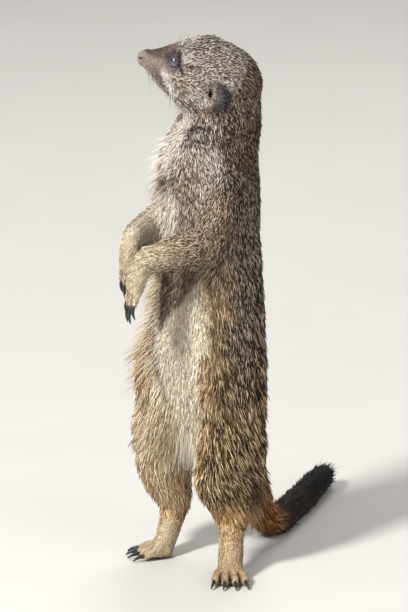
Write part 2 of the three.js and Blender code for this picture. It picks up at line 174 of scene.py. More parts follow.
def relax(values, edges, rounds, share=0.5):
    """Each value moves by a share towards its neighbours' mean, for some rounds."""
    count = len(values)
    ends = np.concatenate([edges[:, 0], edges[:, 1]])
    others = np.concatenate([edges[:, 1], edges[:, 0]])
    near = np.maximum(np.bincount(ends, minlength=count), 1)[:, None]
    share = np.broadcast_to(np.asarray(share, dtype=float), (count,))[:, None]
    for _ in range(rounds):
        columns = [np.bincount(ends, values[others, k], count) for k in range(values.shape[1])]
        values = values + share * (np.stack(columns, 1) / near - values)
    return values


def refine(mesh, near):
    """Subdivides the faces whose corners all pass the test."""
    inside = near(places_of(mesh))
    work = bmesh.new()
    work.from_mesh(mesh)
    chosen = [f for f in work.faces if all(inside[v.index] for v in f.verts)]
    edges = list({e for f in chosen for e in f.edges})
    bmesh.ops.subdivide_edges(work, edges=edges, cuts=1, use_grid_fill=True, smooth=0)
    bmesh.ops.triangulate(work, faces=[f for f in work.faces if len(f.verts) > 4])
    work.to_mesh(mesh)
    work.free()


def node_copy(name, swell=0.0):
    """A copy of a node, merged, and swollen by some millimetres."""
    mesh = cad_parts[name].data.copy()
    work = bmesh.new()
    work.from_mesh(mesh)
    bmesh.ops.remove_doubles(work, verts=work.verts, dist=1e-6)
    work.normal_update()
    for v in work.verts:
        v.co += v.normal * swell * MM
    work.to_mesh(mesh)
    work.free()
    piece = bpy.data.objects.new(name, mesh)
    bpy.context.collection.objects.link(piece)
    return piece


def join(pieces, name):
    bpy.ops.object.select_all(action="DESELECT")
    for piece in pieces:
        piece.select_set(True)
    bpy.context.view_layer.objects.active = pieces[0]
    if len(pieces) > 1:
        bpy.ops.object.join()
    joined = bpy.context.view_layer.objects.active
    joined.name = joined.data.name = name
    joined.select_set(False)
    return joined


class Noise:
    """Smooth random values through space, between -1 and 1."""

    CELLS = 32  # along each side of the block of values, which then repeats

    def __init__(self, size, seed):
        self.size = size
        self.grid = np.random.default_rng(seed).uniform(-1, 1, (self.CELLS,) * 3)

    def __call__(self, places):
        scaled = places / self.size
        cell = np.floor(scaled).astype(int)
        part = scaled - cell
        part = part * part * (3 - 2 * part)
        total = 0
        for dx, dy, dz in product((0, 1), repeat=3):
            weight = np.abs(1 - dx - part[:, 0]) * np.abs(1 - dy - part[:, 1])
            weight = weight * np.abs(1 - dz - part[:, 2])
            total = total + weight * self.grid[tuple(((cell + [dx, dy, dz]) % self.CELLS).T)]
        return total


mottle = Noise(6.0, 11)
fine_mottle = Noise(2.2, 12)
broad_mottle = Noise(22.0, 13)


# ---- the flesh and its bones --------------------------------------------------------------------
ARM = ("upper_arm", "forearm", "forepaw")
LEG = ("thigh", "shank", "hind_paw")
TAIL = ("tail_root", "tail_middle", "tail_tip")
FLESH = ["trunk", "neck", "head", "nose", *TAIL]
FLESH += [f"{part}_{side}" for side in SIDES for part in ("ear", *ARM)]
FLESH += [f"{part}_{side}" for side in SIDES for part in LEG]
PAWS = {"fore": "forepaw", "hind": "hind_paw"}
DIGITS = (1, 2, 3, 4)

# The joints along each limb, from between the feet, and the bones between them that the coat follows.
LIMBS = {
    (ARM, "_left"): ((24, 5, 210), (22.5, -11.5, 182), (4.5, -44, 178), (1.5, -50.5, 153)),
    (ARM, "_right"): ((-23, 14, 210), (-27, 10, 185), (-10.5, -36, 188), (-11.5, -38.5, 158.5)),
    (LEG, "_left"): ((18, 14, 98), (22, 6, 68), (26.5, 4, 27), (39.5, -12.5, 5)),
    (LEG, "_right"): ((-17, 14, 100), (-25, 5, 70), (-20.5, 10, 26), (-17.5, -3, 5)),
    (TAIL, ""): ((0, 30, 80), (1.4, 56, 16), (-11, 94, 7.2), (-37, 151, 7.8)),
}
BONES = {"trunk": ((0, 18, 210), (0, 20, 100)), "neck": ((0, 20, 250), (0, 15, 218))}
BONES |= {name: ((0, 0, 0), (0, 0.4, -1)) for name in ("head", "nose", "ear_left", "ear_right")}
for (parts, ending), joints in LIMBS.items():
    BONES |= {part + ending: joints[k : k + 2] for k, part in enumerate(parts)}


# ---- the skin: one surface from all the flesh ---------------------------------------------------
VOXEL = 1.3
SWELL = 0.3  # closes the parting gaps between the parts

# How far facets and seams are rubbed out: strongly on the body, hardly on the paws, nose and ears.
RUBBING = {
    "trunk": 1, "neck": 1, "head": 0.45, "nose": 0.15, "ear": 0.05, "tail": 0.4,
    "upper_arm": 0.6, "forearm": 0.4, "forepaw": 0.05, "thigh": 0.9, "shank": 0.6, "hind_paw": 0.07,
}
# How far the skin lies under the tips of the coat. The nose is bare.
COAT_DEPTH = {
    "trunk": 2.0, "neck": 1.8, "head": 1.0, "nose": -0.3, "ear": 0.35, "tail": 1.2,
    "upper_arm": 1.6, "forearm": 1.0, "forepaw": 0.4, "thigh": 2.2, "shank": 1.6, "hind_paw": 0.4,
}
TOE_GAP_DEPTH = 2.5
NECK_FOLD_DEPTH = 1.5


def from_table(table):
    """The value for each flesh node, by the longest key that its name starts with."""
    keys = [max((key for key in table if name.startswith(key)), key=len) for name in FLESH]
    return np.array([table[key] for key in keys], dtype=float)


def share_of(shares, *starts):
    """How far each place belongs to the parts whose names start so."""
    return sum(shares[:, i] for i, name in enumerate(FLESH) if name.startswith(starts))


def node_shares(mesh, tree, owner, rounds):
    """How far each skin point belongs to each node, softened across the borders."""
    places = places_of(mesh)
    shares = np.zeros((len(places), len(FLESH)))
    nearest = [tree.find_nearest(place)[2] for place in places * MM]
    shares[np.arange(len(places)), owner[nearest]] = 1
    return relax(shares, read(mesh.edges, "vertices", 2, np.int32), rounds)


EYE_MIDDLE = np.array([EYE["side"], EYE["forward"], EYE["up"]]) - unit(LOOK) * EYEBALL["sunk"]


def mirror(places):
    """Turns a direction for the left of the face into one for the side that each place is on."""
    side = np.where(in_head(places)[:, :1] > 0, 1.0, -1.0)
    return np.hstack([side, np.ones((len(places), 2))])


def eye_places(places):
    """Places counted from the nearer eye's middle, in the head's own frame, mirrored to the left."""
    return in_head(places) * mirror(places) - EYE_MIDDLE


def levelled(local):
    """How far ahead and how far above, level with the floor, for steps in the head's own frame."""
    _, forward, up = local.T
    lift = math.radians(HEAD_LIFT)
    return forward * math.cos(lift) - up * math.sin(lift), forward * math.sin(lift) + up * math.cos(lift)


def before_the_eyes(places):
    """How far ahead of the slit of the eye a place is, and how far above it, level with the floor."""
    return levelled(in_head(places) - EYE_MIDDLE - unit(LOOK) * EYEBALL["radius"])


def ear_places(places):
    """Places counted from the nearer ear's middle, in the head's own frame, mirrored to the left."""
    head = in_head(places)
    side, forward, up = np.abs(head[:, 0]), head[:, 1], head[:, 2]
    return np.stack([side - EAR["side"], forward - EAR["forward"], up - EAR["up"]], 1)


def by_the_ear(places):
    """How far ahead of the ear's canal a place is, how far above it, and how far from the pale fold."""
    ahead, above = levelled(ear_places(places) - CANAL)
    fold = ahead - np.interp(above, [-5.5, -4.5, -2.0, 0.5, 4.5], [0.9, 0.0, -1.9, -3.0, -2.7])
    return ahead, above, fold


def in_canal(ahead, above):
    """How far a place lies in the mouth of the canal, from 0 to 1."""
    return spot(ahead + 0.3, above - 0.6, 1.3, 2.6)


def eyelids(places):
    """The lids wrap the eyeball and part in a narrow, heavy-lidded slit."""
    local = eye_places(places)
    reach = far(local)
    away = unit(local)
    facing, x, y = eye_directions(away)
    half = 3.1  # of the slit's length
    middle = 0.25 - 0.05 * x - 0.045 * x * x
    gap = 0.32 * np.sqrt(np.clip(1 - (x / half) ** 2, 0, 1))
    inside = ramp(np.abs(y - middle), gap + 0.12, gap - 0.08) * ramp(np.abs(x), half + 0.05, half - 0.2)
    lid = EYEBALL["radius"] + 0.40
    lid = lid + 0.28 * bump(y - middle - gap - 0.42, 0.42) * bump(x, 2.6)  # the upper rim
    lid = lid - 0.30 * bump(y - middle - gap - 1.35, 0.40) * bump(x, 2.8)  # its crease
    lid = lid + 0.20 * bump(y - middle + gap + 0.36, 0.34) * bump(x, 2.5)  # the lower rim
    lid = lid - 0.30 * bump(y - middle + gap + 1.0, 0.34) * bump(x, 2.7)
    lid = lid + 0.70 * bump(y - middle + gap + 2.0, 1.05) * bump(x + 0.2, 2.4)  # the pouch under it
    lid = lid - 0.35 * bump(x - half - 0.5, 0.5) * bump(y - middle + 0.1, 0.45)  # the tear corner
    aim = lid * (1 - inside) + (EYEBALL["radius"] - 1.3) * inside
    hold = ramp(np.hypot(x, y), 6.6, 2.9) * ramp(facing, 0.05, 0.3)
    shift = np.where(hold > 0, aim - reach, 0) * hold
    shift = shift + 0.9 * bump(y - 4.4, 1.5) * bump(x + 0.6, 4.2) * ramp(facing, 0.1, 0.4)  # the brow
    shift = shift - 0.5 * bump(x - 5.0, 1.5) * bump(y + 0.3, 1.5) * ramp(facing, 0.1, 0.4)  # before the eye
    return places + (away * shift[:, None] * mirror(places)) @ HEAD_AXES.T


def eye_directions(away):
    """How far a direction faces the eye's look, and its place along and above the slit, in millimetres."""
    look = unit(LOOK)
    to_nose = NOSE - EYE_MIDDLE
    along = unit(to_nose - look * np.dot(to_nose, look))
    over = np.cross(look, along)
    over *= np.sign(over[2])
    facing = away @ look
    x, y = (np.arcsin(np.clip(away @ axis, -1, 1)) * EYEBALL["radius"] for axis in (along, over))
    return facing, np.where(facing > 0, x, 99.0), y


def nostrils_and_lips(places):
    """Comma-shaped nostrils, the groove between them, a squared front, and the line of the mouth."""
    head = in_head(places)
    side, forward, up = np.abs(head[:, 0]), head[:, 1], head[:, 2]
    face = unit(NOSE_FRONT)
    ahead, height = head @ face, (head - NOSE) @ NOSE_UP
    front = ramp(ahead, 30.5, 32.5)
    hole = spot(side - 1.75, height - 0.05, 0.72, 0.62)
    tail = bump(height - 0.55 - 0.25 * (side - 2.2), 0.3) * ramp(side, 1.9, 2.4) * ramp(forward, 31.2, 32.4)
    groove = bump(side, 0.3) * ramp(height, 1.4, 0.4) * front
    wing = spot(side - 1.9, height - 1.25, 1.5, 0.7) * front
    push = -1.9 * hole * front - 0.75 * tail - 0.45 * groove + 0.25 * wing
    blunt = ramp(ahead, 29.5, 32) * ramp(far(head - NOSE), 9, 6.5) * ramp(height, -4, -2.6)
    squared = 0.6 + 0.09 * np.clip(height, -2.6, 2.6) ** 2
    moved = face * (push + squared * blunt)[:, None] + NOSE_UP * (0.14 * height * blunt)[:, None]
    # The mouth runs back from under the nose, a little below the edge of the upper lip.
    line = -11.3 - 0.36 * (34 - forward) + 0.004 * (34 - forward) ** 2
    mouth = bump(up - line, 0.42) * ramp(forward, 12.5, 16)
    lip = bump(up - line - 1.4, 1.0) * ramp(forward, 13, 18) * ramp(forward, 34, 31)
    inward = -unit(np.stack([head[:, 0], 0 * forward, (up + 9) * 0.6], 1))
    moved = moved + inward * (0.85 * mouth - 0.28 * lip)[:, None]
    return places + moved @ HEAD_AXES.T


def ear_bowls(places):
    """A deep canal, a fold that curls round it, a hollow bowl behind the fold and a rolled rim."""
    flare = math.radians(EAR["flare"])
    out = np.array([math.cos(flare), math.sin(flare), 0])
    local = ear_places(places)
    ahead, above, fold = by_the_ear(places)
    ridge = bump(fold, 0.75) * ramp(above, -6.5, -4.5) * ramp(above, 6.5, 4.5)
    bowl = spot(ahead + 5.2, above + 0.5, 1.7, 4.0)
    furrow = spot(ahead - 3.4 + 0.4 * above, above + 0.5, 0.7, 2.6)
    push = -3.2 * in_canal(ahead, above) + 0.9 * ridge - 0.9 * bowl - 0.7 * furrow
    push *= ramp(far(local), 10.5, 8.0) * ramp(local @ out, -3.0, -1.0)
    return places + (mirror(places) * out * push[:, None]) @ HEAD_AXES.T


def claw_roots(foot, side):
    """Where each claw of a paw leaves its toe, and the way the toes point."""
    start, end = (np.array(place) + BETWEEN_FEET for place in BONES[f"{PAWS[foot]}_{side}"])
    roots, ways = [], []
    for i in DIGITS:
        places = places_of(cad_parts[f"claw_{foot}_{side}_{i}"].data)
        reach = far(places - start)
        roots.append(places[reach < np.quantile(reach, 0.3)].mean(0))
        ways.append(places[reach > np.quantile(reach, 0.8)].mean(0) - roots[-1])
    level = np.array(ways) * [1, 1, 0]
    return np.array(roots), unit(level if foot == "hind" else np.tile(end - start, (len(DIGITS), 1)))


def toe_gaps(places):
    """How deep each place lies in a groove between two toes or fingers, from 0 to 1."""
    groove = np.zeros(len(places))
    for foot, length in {"fore": 7.0, "hind": 8.5}.items():
        for side in SIDES:
            roots, ways = claw_roots(foot, side)
            for k in range(3):
                way = unit(ways[k] + ways[k + 1])
                across = roots[k + 1] - roots[k]
                across = unit(across - way * np.dot(across, way))
                local = places - (roots[k] + roots[k + 1]) / 2
                along = local @ way
                reach = ramp(along, -length, -length * 0.45) * ramp(along, 6, 4) * (far(local) < 12)
                groove = np.maximum(groove, bump(local @ across, 0.85) * reach)
    return groove


def neck_folds(places):
    """How deep each place lies in one of the folds under the jaw, from 0 to 1."""
    turn, height = around_trunk(places), places[:, 2]
    wave = 0.03 * turn + 0.7 * np.sin(turn / 7) + 0.7 * broad_mottle(places)
    long_fold = bump(height - 242.6 - wave, 1.1) * ramp(turn, -34, -10) * ramp(turn, 58, 36)
    long_fold *= ramp(mottle(places), -2.2, -0.6)
    short_fold = bump(height - 236.4 + 0.03 * turn, 0.9) * ramp(turn, -12, 4) * ramp(turn, 46, 32)
    return np.maximum(long_fold, 0.8 * short_fold)


def one_surface():
    """The flesh and the eyes remeshed as one skin, with a search tree of what it was and whose it was."""
    pieces, owner = [], []
    for name in [*FLESH, "eye_left", "eye_right"]:
        pieces.append(node_copy(name, SWELL))
        part = name if name in FLESH else "head"
        owner += [FLESH.index(part)] * len(pieces[-1].data.polygons)
    skin = join(pieces, "skin")
    corners = [p.vertices[:] for p in skin.data.polygons]
    tree = BVHTree.FromPolygons([v.co[:] for v in skin.data.vertices], corners)
    apply_modifier(skin, "REMESH", mode="VOXEL", voxel_size=VOXEL * MM, adaptivity=0.0)
    return skin, tree, np.array(owner)


def draw_in(mesh, shares):
    """Rubs out facets and seams, and draws the skin in by the depth of the coat."""
    edges = read(mesh.edges, "vertices", 2, np.int32)
    set_places(mesh, relax(places_of(mesh), edges, 55, 0.5 * shares @ from_table(RUBBING)))
    depth = relax((shares @ from_table(COAT_DEPTH))[:, None], edges, 15)
    muzzle = ramp(in_head(places_of(mesh))[:, 1], 14, 26)[:, None]
    depth = depth * (1 - 0.7 * muzzle)
    drawn_in = places_of(mesh) - normals_of(mesh) * depth
    set_places(mesh, relax(drawn_in, edges, 4, 0.35 * shares @ from_table(RUBBING)))


def refine_details(mesh):
    """Makes the mesh finer on the head, then round the eyes, ears and nose, and on the toes."""
    toes = np.concatenate([claw_roots(foot, side)[0] for foot in PAWS for side in SIDES])

    def on_the_face(p):
        return (far(in_head(p) - [0, 6, -4]) < 29) | (far(in_head(p) - [0, 26, -6]) < 16)

    def on_eye_ear_or_nose(p):
        return (far(eye_places(p)) < 6.8) | (far(ear_places(p)) < 9.2) | (in_head(p)[:, 1] > 29.5)

    def on_the_lids(p):
        return (far(eye_places(p)) < 5.4) & (eye_places(p) @ unit(LOOK) > 1.8)

    def on_the_toes(p):
        return np.min([far(p - root) for root in toes], axis=0) < 9.5

    for near in (on_the_face, on_eye_ear_or_nose, on_the_lids, on_the_toes):
        refine(mesh, near)


def make_skin():
    """The finished skin, and how far each of its points belongs to each part."""
    skin, tree, owner = one_surface()
    mesh = skin.data
    draw_in(mesh, node_shares(mesh, tree, owner, 10))
    refine_details(mesh)
    edges = read(mesh.edges, "vertices", 2, np.int32)
    places, normals = places_of(mesh), normals_of(mesh)
    sunk = TOE_GAP_DEPTH * toe_gaps(places) + NECK_FOLD_DEPTH * neck_folds(places)
    places -= normals * sunk[:, None]
    face = ramp(far(in_head(places) - [0, 14, -6]), 34, 28)
    places = relax(places, edges, 3, 0.4 * face)
    places = nostrils_and_lips(eyelids(ear_bowls(places)))
    set_places(mesh, relax(places, edges, 1, 0.25 * face))
    mesh.shade_smooth()
    return skin, node_shares(mesh, tree, owner, 14)


# ---- the markings -------------------------------------------------------------------------------
# For each kind of coat: its dark, middle and pale hairs, and how many are dark and pale.
KINDS = {
    "back": ((26, 19, 16), (82, 65, 54), (190, 176, 162), 0.42, 0.30),
    "crown": ((38, 30, 26), (120, 104, 93), (214, 206, 199), 0.29, 0.32),
    "shoulder": ((64, 52, 45), (148, 131, 117), (224, 214, 204), 0.22, 0.44),
    "nape": ((36, 24, 18), (86, 60, 47), (160, 140, 122), 0.42, 0.26),
    "cream": ((164, 144, 118), (218, 201, 172), (246, 237, 218), 0.14, 0.46),
    "pale": ((136, 124, 110), (196, 185, 169), (238, 230, 219), 0.17, 0.42),
    "gold": ((104, 76, 48), (184, 148, 106), (230, 204, 164), 0.20, 0.36),
    "arm": ((46, 35, 28), (112, 89, 70), (196, 177, 152), 0.29, 0.36),
    "hand": ((136, 112, 84), (196, 176, 142), (234, 220, 194), 0.14, 0.42),
    "foot": ((138, 114, 84), (196, 173, 138), (232, 214, 184), 0.12, 0.44),
    "thigh": ((34, 25, 17), (106, 81, 55), (214, 188, 148), 0.40, 0.30),
    "lower_leg": ((104, 72, 42), (196, 152, 100), (236, 206, 158), 0.22, 0.36),
    "muzzle": ((92, 76, 69), (136, 119, 109), (180, 164, 153), 0.24, 0.30),
    # The snout's dark top: partly its own browner fur, partly painted shade.
    "snout": ((60, 48, 43), (90, 76, 69), (128, 112, 102), 0.24, 0.28),
    "lip": ((94, 82, 78), (196, 184, 176), (238, 231, 226), 0.20, 0.44),
    "mask": ((32, 26, 30), (60, 52, 57), (106, 98, 104), 0.44, 0.18),
    # The pouch under the eye: the lid's greyer skin, partly lightened as a painted highlight on its bulge.
    "pouch": ((74, 67, 74), (118, 111, 120), (164, 160, 170), 0.26, 0.34),
    "stripe": ((132, 124, 119), (214, 209, 205), (250, 248, 246), 0.13, 0.50),
    "cheek": ((44, 33, 23), (132, 112, 86), (212, 197, 172), 0.30, 0.32),
    "tail": ((58, 35, 18), (130, 84, 44), (190, 142, 88), 0.34, 0.22),
    # From the tail's middle on: its own darkening to the black end, partly painted shade.
    "dark_tail_and_shade": ((7, 5, 5), (14, 11, 10), (34, 27, 22), 0.50, 0.14),
    "tip": ((3, 3, 3), (6, 6, 6), (15, 13, 14), 0.55, 0.08),
    "ear": ((40, 35, 36), (74, 68, 70), (120, 113, 112), 0.30, 0.26),
    "tuft": ((104, 91, 72), (162, 147, 123), (206, 193, 170), 0.24, 0.36),
    "rust": ((92, 55, 32), (160, 112, 70), (204, 166, 122), 0.26, 0.30),
    "nose": ((96, 86, 80), (134, 123, 115), (170, 160, 151), 0.25, 0.25),
    "sole": ((44, 38, 38), (64, 55, 53), (84, 73, 69), 0.2, 0.2),
    "lid": ((40, 34, 40), (80, 73, 82), (134, 130, 142), 0.22, 0.3),
    # Painted shade: near black for the depths of the ear canals and nostrils.
    "canal": ((8, 6, 6), (12, 9, 8), (20, 15, 13), 0.3, 0.1),
}
NAMES = list(KINDS)
TONES = np.array([[linear(*tone) for tone in KINDS[name][:3]] for name in NAMES])
DARK_SHARE = np.array([KINDS[name][3] for name in NAMES])
PALE_SHARE = np.array([KINDS[name][4] for name in NAMES])


class Coat:
    """Places on the skin as the markings need them, and how far each has each kind of coat."""

    def __init__(self, places, shares):
        self.places = places
        self.x, self.y, self.z = (places - BETWEEN_FEET).T
        head = in_head(places)
        self.side, self.forward, self.up = np.abs(head[:, 0]), head[:, 1], head[:, 2]
        self.soft, self.fine, self.broad = mottle(places), fine_mottle(places), broad_mottle(places)
        self.stirred = 1.6 * self.soft + 0.9 * self.fine
        self.on = {part: share_of(shares, part) for part in ("head", "nose", "ear", "neck", "trunk", "tail")}
        self.on |= {part: share_of(shares, part) for part in (*ARM, *LEG)}
        # The fold of the flank is marked with the trunk, not with the leg.
        flank = self.on["thigh"] * ramp(self.z, 84, 102)
        self.body = self.on["trunk"] + self.on["neck"] + flank
        self.leg = self.on["thigh"] - flank
        self.skull = self.on["head"] + self.on["nose"] + self.on["ear"]
        self.turn = around_trunk(places)
        chest_turn = -24 * ramp(self.z, 168, 192)  # the chest is turned a little after the head
        off_middle = np.abs((self.turn - chest_turn + 180) % 360 - 180)
        self.off_belly = off_middle + 5 * self.soft + 7 * self.broad
        self.weights = np.zeros((len(places), len(NAMES)))
        self.weights[:, NAMES.index("back")] = 1

    def paint(self, name, mask):
        lay_over(self.weights, name, mask)


def lay_over(weights, name, mask):
    """Covers the other kinds of coat with one, as far as the mask says."""
    mask = np.clip(mask, 0, 1)
    weights *= 1 - mask[:, None]
    weights[:, NAMES.index(name)] += mask


def mark_back_and_flanks(coat):
    """A grizzled back with dark bands low down, golden flanks and a cream belly."""
    z, body, soft, off_belly = coat.z, coat.body, coat.soft, coat.off_belly
    away = np.abs(coat.turn)
    high = ramp(z, 172, 188)
    coat.paint("shoulder", body * high * ramp(off_belly, 98, 70) * ramp(z, 250, 226))
    coat.paint("thigh", 0.75 * body * ramp(z + 6 * soft, 146, 96) * ramp(away, 135, 95))
    bands = ramp(np.sin(z * 0.42 + 1.2 * soft + 0.02 * away), -0.1, 0.8)
    coat.paint("nape", 0.65 * body * bands * ramp(away, 78, 115) * ramp(z, 84, 100) * ramp(z, 196, 176))
    coat.paint("gold", 0.65 * body * ramp(off_belly + 6 * soft, 74, 46) * (1 - high))
    coat.paint("arm", 0.65 * body * high * ramp(off_belly, 70, 44) * ramp(z, 236, 216))
    coat.paint("cream", body * ramp(off_belly, 44 - 14 * high, 30 - 14 * high) * (1 - high))


def mark_chest(coat):
    """A pale strip down the chest, with a browner, thinly haired patch on it."""
    z, body, turn = coat.z, coat.body, coat.turn
    high = ramp(z, 172, 188)
    middle = np.interp(z, [190, 206, 216, 228, 250], [-16, -16, -33, -31, -34])
    off_chest = np.abs(turn - middle) + 2 * coat.soft + 3 * coat.broad
    coat.paint("pale", body * high * ramp(off_chest, 24, 13))
    coat.paint("cream", 0.6 * body * high * ramp(off_chest, 20, 10) * ramp(z, 212, 204))
    coat.paint("nape", 0.85 * body * bump(turn + 21, 11) * bump(z - 214.5, 7))


def mark_belly(coat):
    """Dark wedge under the arms, part sparse belly, part painted arm shadow; painted shade where the belly
    meets the right thigh.
    """
    x, z, body, soft = coat.x, coat.z, coat.body, coat.soft
    in_front = body * ramp(coat.y, 8, 2)
    # Partly the dark, thinly haired patch of the belly, partly painted shadow cast by the arm above it.
    edge = -17 + 0.84 * (z - 127)
    wedge = ramp(x + 0.7 * coat.fine, -15.5, -12.0) * ramp(x + 1.2 * soft, edge + 3.5, edge - 2.5)
    wedge = wedge * ramp(z, 180, 172)
    coat.paint("nape", 0.9 * in_front * wedge)
    # Painted shade in the crease where the belly meets the right thigh.
    crease = np.interp(z, [70, 78, 92, 108, 125, 140], [0, -3, -9, -15, -18, -18])
    in_crease = bump(x + 0.8 * soft - crease, 2.2) * ramp(z, 70, 80) * ramp(z, 140, 128)
    coat.paint("nape", 0.6 * in_front * in_crease)


def mark_upper_back(coat):
    """Darker up the back and on the sides of the neck."""
    away = np.abs(coat.turn)
    coat.paint("nape", 0.65 * coat.body * ramp(away, 62, 100) * ramp(coat.z, 190, 240))
    coat.paint("nape", 0.5 * coat.body * ramp(away, 95, 130) * ramp(coat.z, 130, 215))


def mark_arms(coat):
    """Ticked outside, cream at the hand, and inside the right arm cream that is partly its own, partly
    painted light on its shaded side.
    """
    x, y, on = coat.x, coat.y, coat.on
    coat.paint("arm", on["upper_arm"] * ramp(y, 6, -8) + on["forearm"])
    coat.paint("gold", 0.5 * on["upper_arm"] * (x < 0) * ramp(y, 14, 2))
    paling = 0.65 * ramp(y, -22, -44) + 0.75 * ramp(x, 0, -10)
    coat.paint("hand", on["forepaw"] + on["forearm"] * paling)
    # Partly the arm's own paler inner fur, partly painted light lifting the shade on the side turned from the
    # key lamp.
    coat.paint("cream", 0.6 * (on["upper_arm"] + on["forearm"]) * (x < 0) * ramp(x, -26, -18))


def mark_legs(coat):
    """Grizzled outside and behind, golden in front, inside and low, and palest on the feet."""
    x, y, z, leg, on, soft = coat.x, coat.y, coat.z, coat.leg, coat.on, coat.soft
    coat.paint("gold", leg)
    coat.paint("lower_leg", on["shank"] + 0.6 * leg * ramp(z, 74, 60))
    outer = np.abs(x) - 20 + 0.9 * (y - 8) + 3 * soft
    less_on_the_right = np.where(x > 0, 1, 0.22 + 0.7 * ramp(y, 4, 14))
    coat.paint("thigh", (leg + on["shank"] * ramp(z, 34, 46)) * ramp(outer, -25, -12) * less_on_the_right)
    crotch = ramp(np.abs(x - 2), 15, 8) * ramp(z, 110, 92) * ramp(z, 44, 56) * (y < 22)
    coat.paint("cream", 0.9 * (leg + on["trunk"]) * crotch)
    coat.paint("cream", 0.52 * (leg + 0.7 * on["shank"]) * (x < 0) * ramp(y, 16, 4))
    coat.paint("lower_leg", on["hind_paw"])
    coat.paint("foot", on["hind_paw"] * ramp(z + 2 * soft, 27, 15) * np.where(x > 0, 0.6, 1))
    coat.paint("arm", 0.25 * on["hind_paw"] * (x > 0))


def mark_tail(coat):
    """Tawny below, darker above and towards its black end, the middle darkened partly by painted shade."""
    tail, along = coat.on["tail"], coat.y + 3 * coat.soft
    coat.paint("tail", tail)
    coat.paint("back", 0.75 * tail * ramp(coat.z + 3 * coat.soft, 56, 78))
    # The tail darkens from its middle: partly its own colour, partly painted shade.
    coat.paint("dark_tail_and_shade", 0.9 * tail * ramp(along, 56, 78))
    coat.paint("tip", tail * ramp(along, 104, 124))


def mark_head(coat):
    """A grey crown, rusty nape, brown cheek, and the muzzle with its dark top, partly painted shade, and pale
    lips.
    """
    side, forward, up, skull = coat.side, coat.forward, coat.up, coat.skull
    stirred = coat.stirred
    down_the_neck = ramp(coat.off_belly, 6, 20) * ramp(np.abs(coat.turn), 80, 62) * ramp(coat.z, 222, 240)
    coat.paint("crown", skull + 0.95 * coat.on["neck"] * down_the_neck)
    coat.paint("nape", skull * (0.9 * ramp(forward + stirred, -11, -24) + 0.2 * ramp(up, 12, 20)))
    coat.paint("rust", 0.22 * skull * ramp(coat.broad, 0, 1.2) * ramp(up, 2, 10))
    under_the_ear = bump(forward + 9 + stirred, 6) * bump(up + 18 + stirred, 4.5)
    coat.paint("rust", 0.75 * skull * under_the_ear * ramp(side, 12, 17))
    cheek = bump(forward - 9 + stirred, 8) * bump(up + 8 + stirred, 6)
    coat.paint("cheek", 0.7 * skull * cheek * ramp(side, 5, 9))
    coat.paint("stripe", 0.3 * skull * bump(forward + 1 + stirred, 5) * bump(up + 11, 5) * ramp(side, 12, 16))
    under_the_jaw = ramp(up + stirred, -16, -21) * ramp(forward, 26, 12) * ramp(side, 18, 10)
    coat.paint("pale", 0.8 * skull * under_the_jaw)
    coat.paint("muzzle", skull * ramp(forward + stirred, 18, 23))
    # The top of the snout is painted dark: partly its own browner fur, partly painted shade along its upper
    # edge.
    over_the_nose = ramp(up - 0.24 * (35 - forward) + stirred * 0.4, -6.5, -3.5)
    coat.paint("snout", skull * ramp(forward, 21, 27) * over_the_nose)
    low = ramp(up + 0.42 * (34 - forward) + stirred * 0.5, -8.4, -10.8)
    coat.paint("lip", skull * ramp(forward, 17, 22) * ramp(forward, 33, 29) * low)


def mark_eyes(coat):
    """The white stripe and spotted pad before the eye, the dark patch round it and the lines behind it."""
    side, forward, up, skull = coat.side, coat.forward, coat.up, coat.skull
    ahead, above = before_the_eyes(coat.places)
    ahead, above = ahead + 0.5 * coat.stirred, above + 0.4 * coat.fine
    stripe_line = np.maximum(5.4 + 0.42 * (above + 6), 0.2)
    stripe = bump(ahead - stripe_line, 1.9) * ramp(above, -4.0, -8.5) * ramp(above, -25, -17)
    coat.paint("stripe", 0.8 * skull * stripe * ramp(side, 3, 6))
    spots = ramp(np.sin(forward * 2.3 + up * 0.8) * np.sin(up * 2.4 - forward * 0.6), 0.1, 0.5)
    on_the_pad = ramp(np.abs(ahead - 8.6 - 0.2 * (above + 10)), 3.4, 2.4) * bump(above + 11, 4.5)
    coat.paint("mask", 0.75 * skull * spots * on_the_pad)
    streak = bump(above - 1.4 + 0.28 * (-ahead - 5), 1.7) * ramp(ahead, -3.8, -6.5) * ramp(ahead, -20, -10)
    coat.paint("stripe", 0.28 * skull * streak * ramp(side, 5, 8))
    patch = np.hypot((ahead - 0.5) / 4.9, (above + 0.5) / 5.8)
    coat.paint("mask", 0.85 * skull * ramp(patch, 1.22, 0.6) * ramp(side, 3.5, 6))
    pouch = np.hypot((ahead - 0.9) / 3.1, (above + 3.0) / 3.0)
    # The pouch is painted paler: partly the lid's own grey skin, partly a painted highlight on its bulge.
    coat.paint("pouch", 0.9 * skull * ramp(pouch, 1.2, 0.6) * ramp(side, 4, 7))
    behind = bump(ahead + 3.5 + 0.03 * (above + 1) ** 2, 1.2) * ramp(np.abs(above + 1.5), 6.5, 4.0)
    line = bump(above + 2.7 + 0.06 * (-ahead - 5), 0.95) * ramp(ahead, -3.5, -5.5) * ramp(ahead, -16.5, -11)
    point = bump(ahead + 0.6, 0.85) * ramp(above, 2.5, 4.5) * ramp(above, 9.5, 6.5)
    coat.paint("nape", 0.75 * skull * line * ramp(side, 5, 8))
    coat.paint("mask", skull * np.maximum(behind, 0.85 * point) * ramp(side, 3.5, 6))


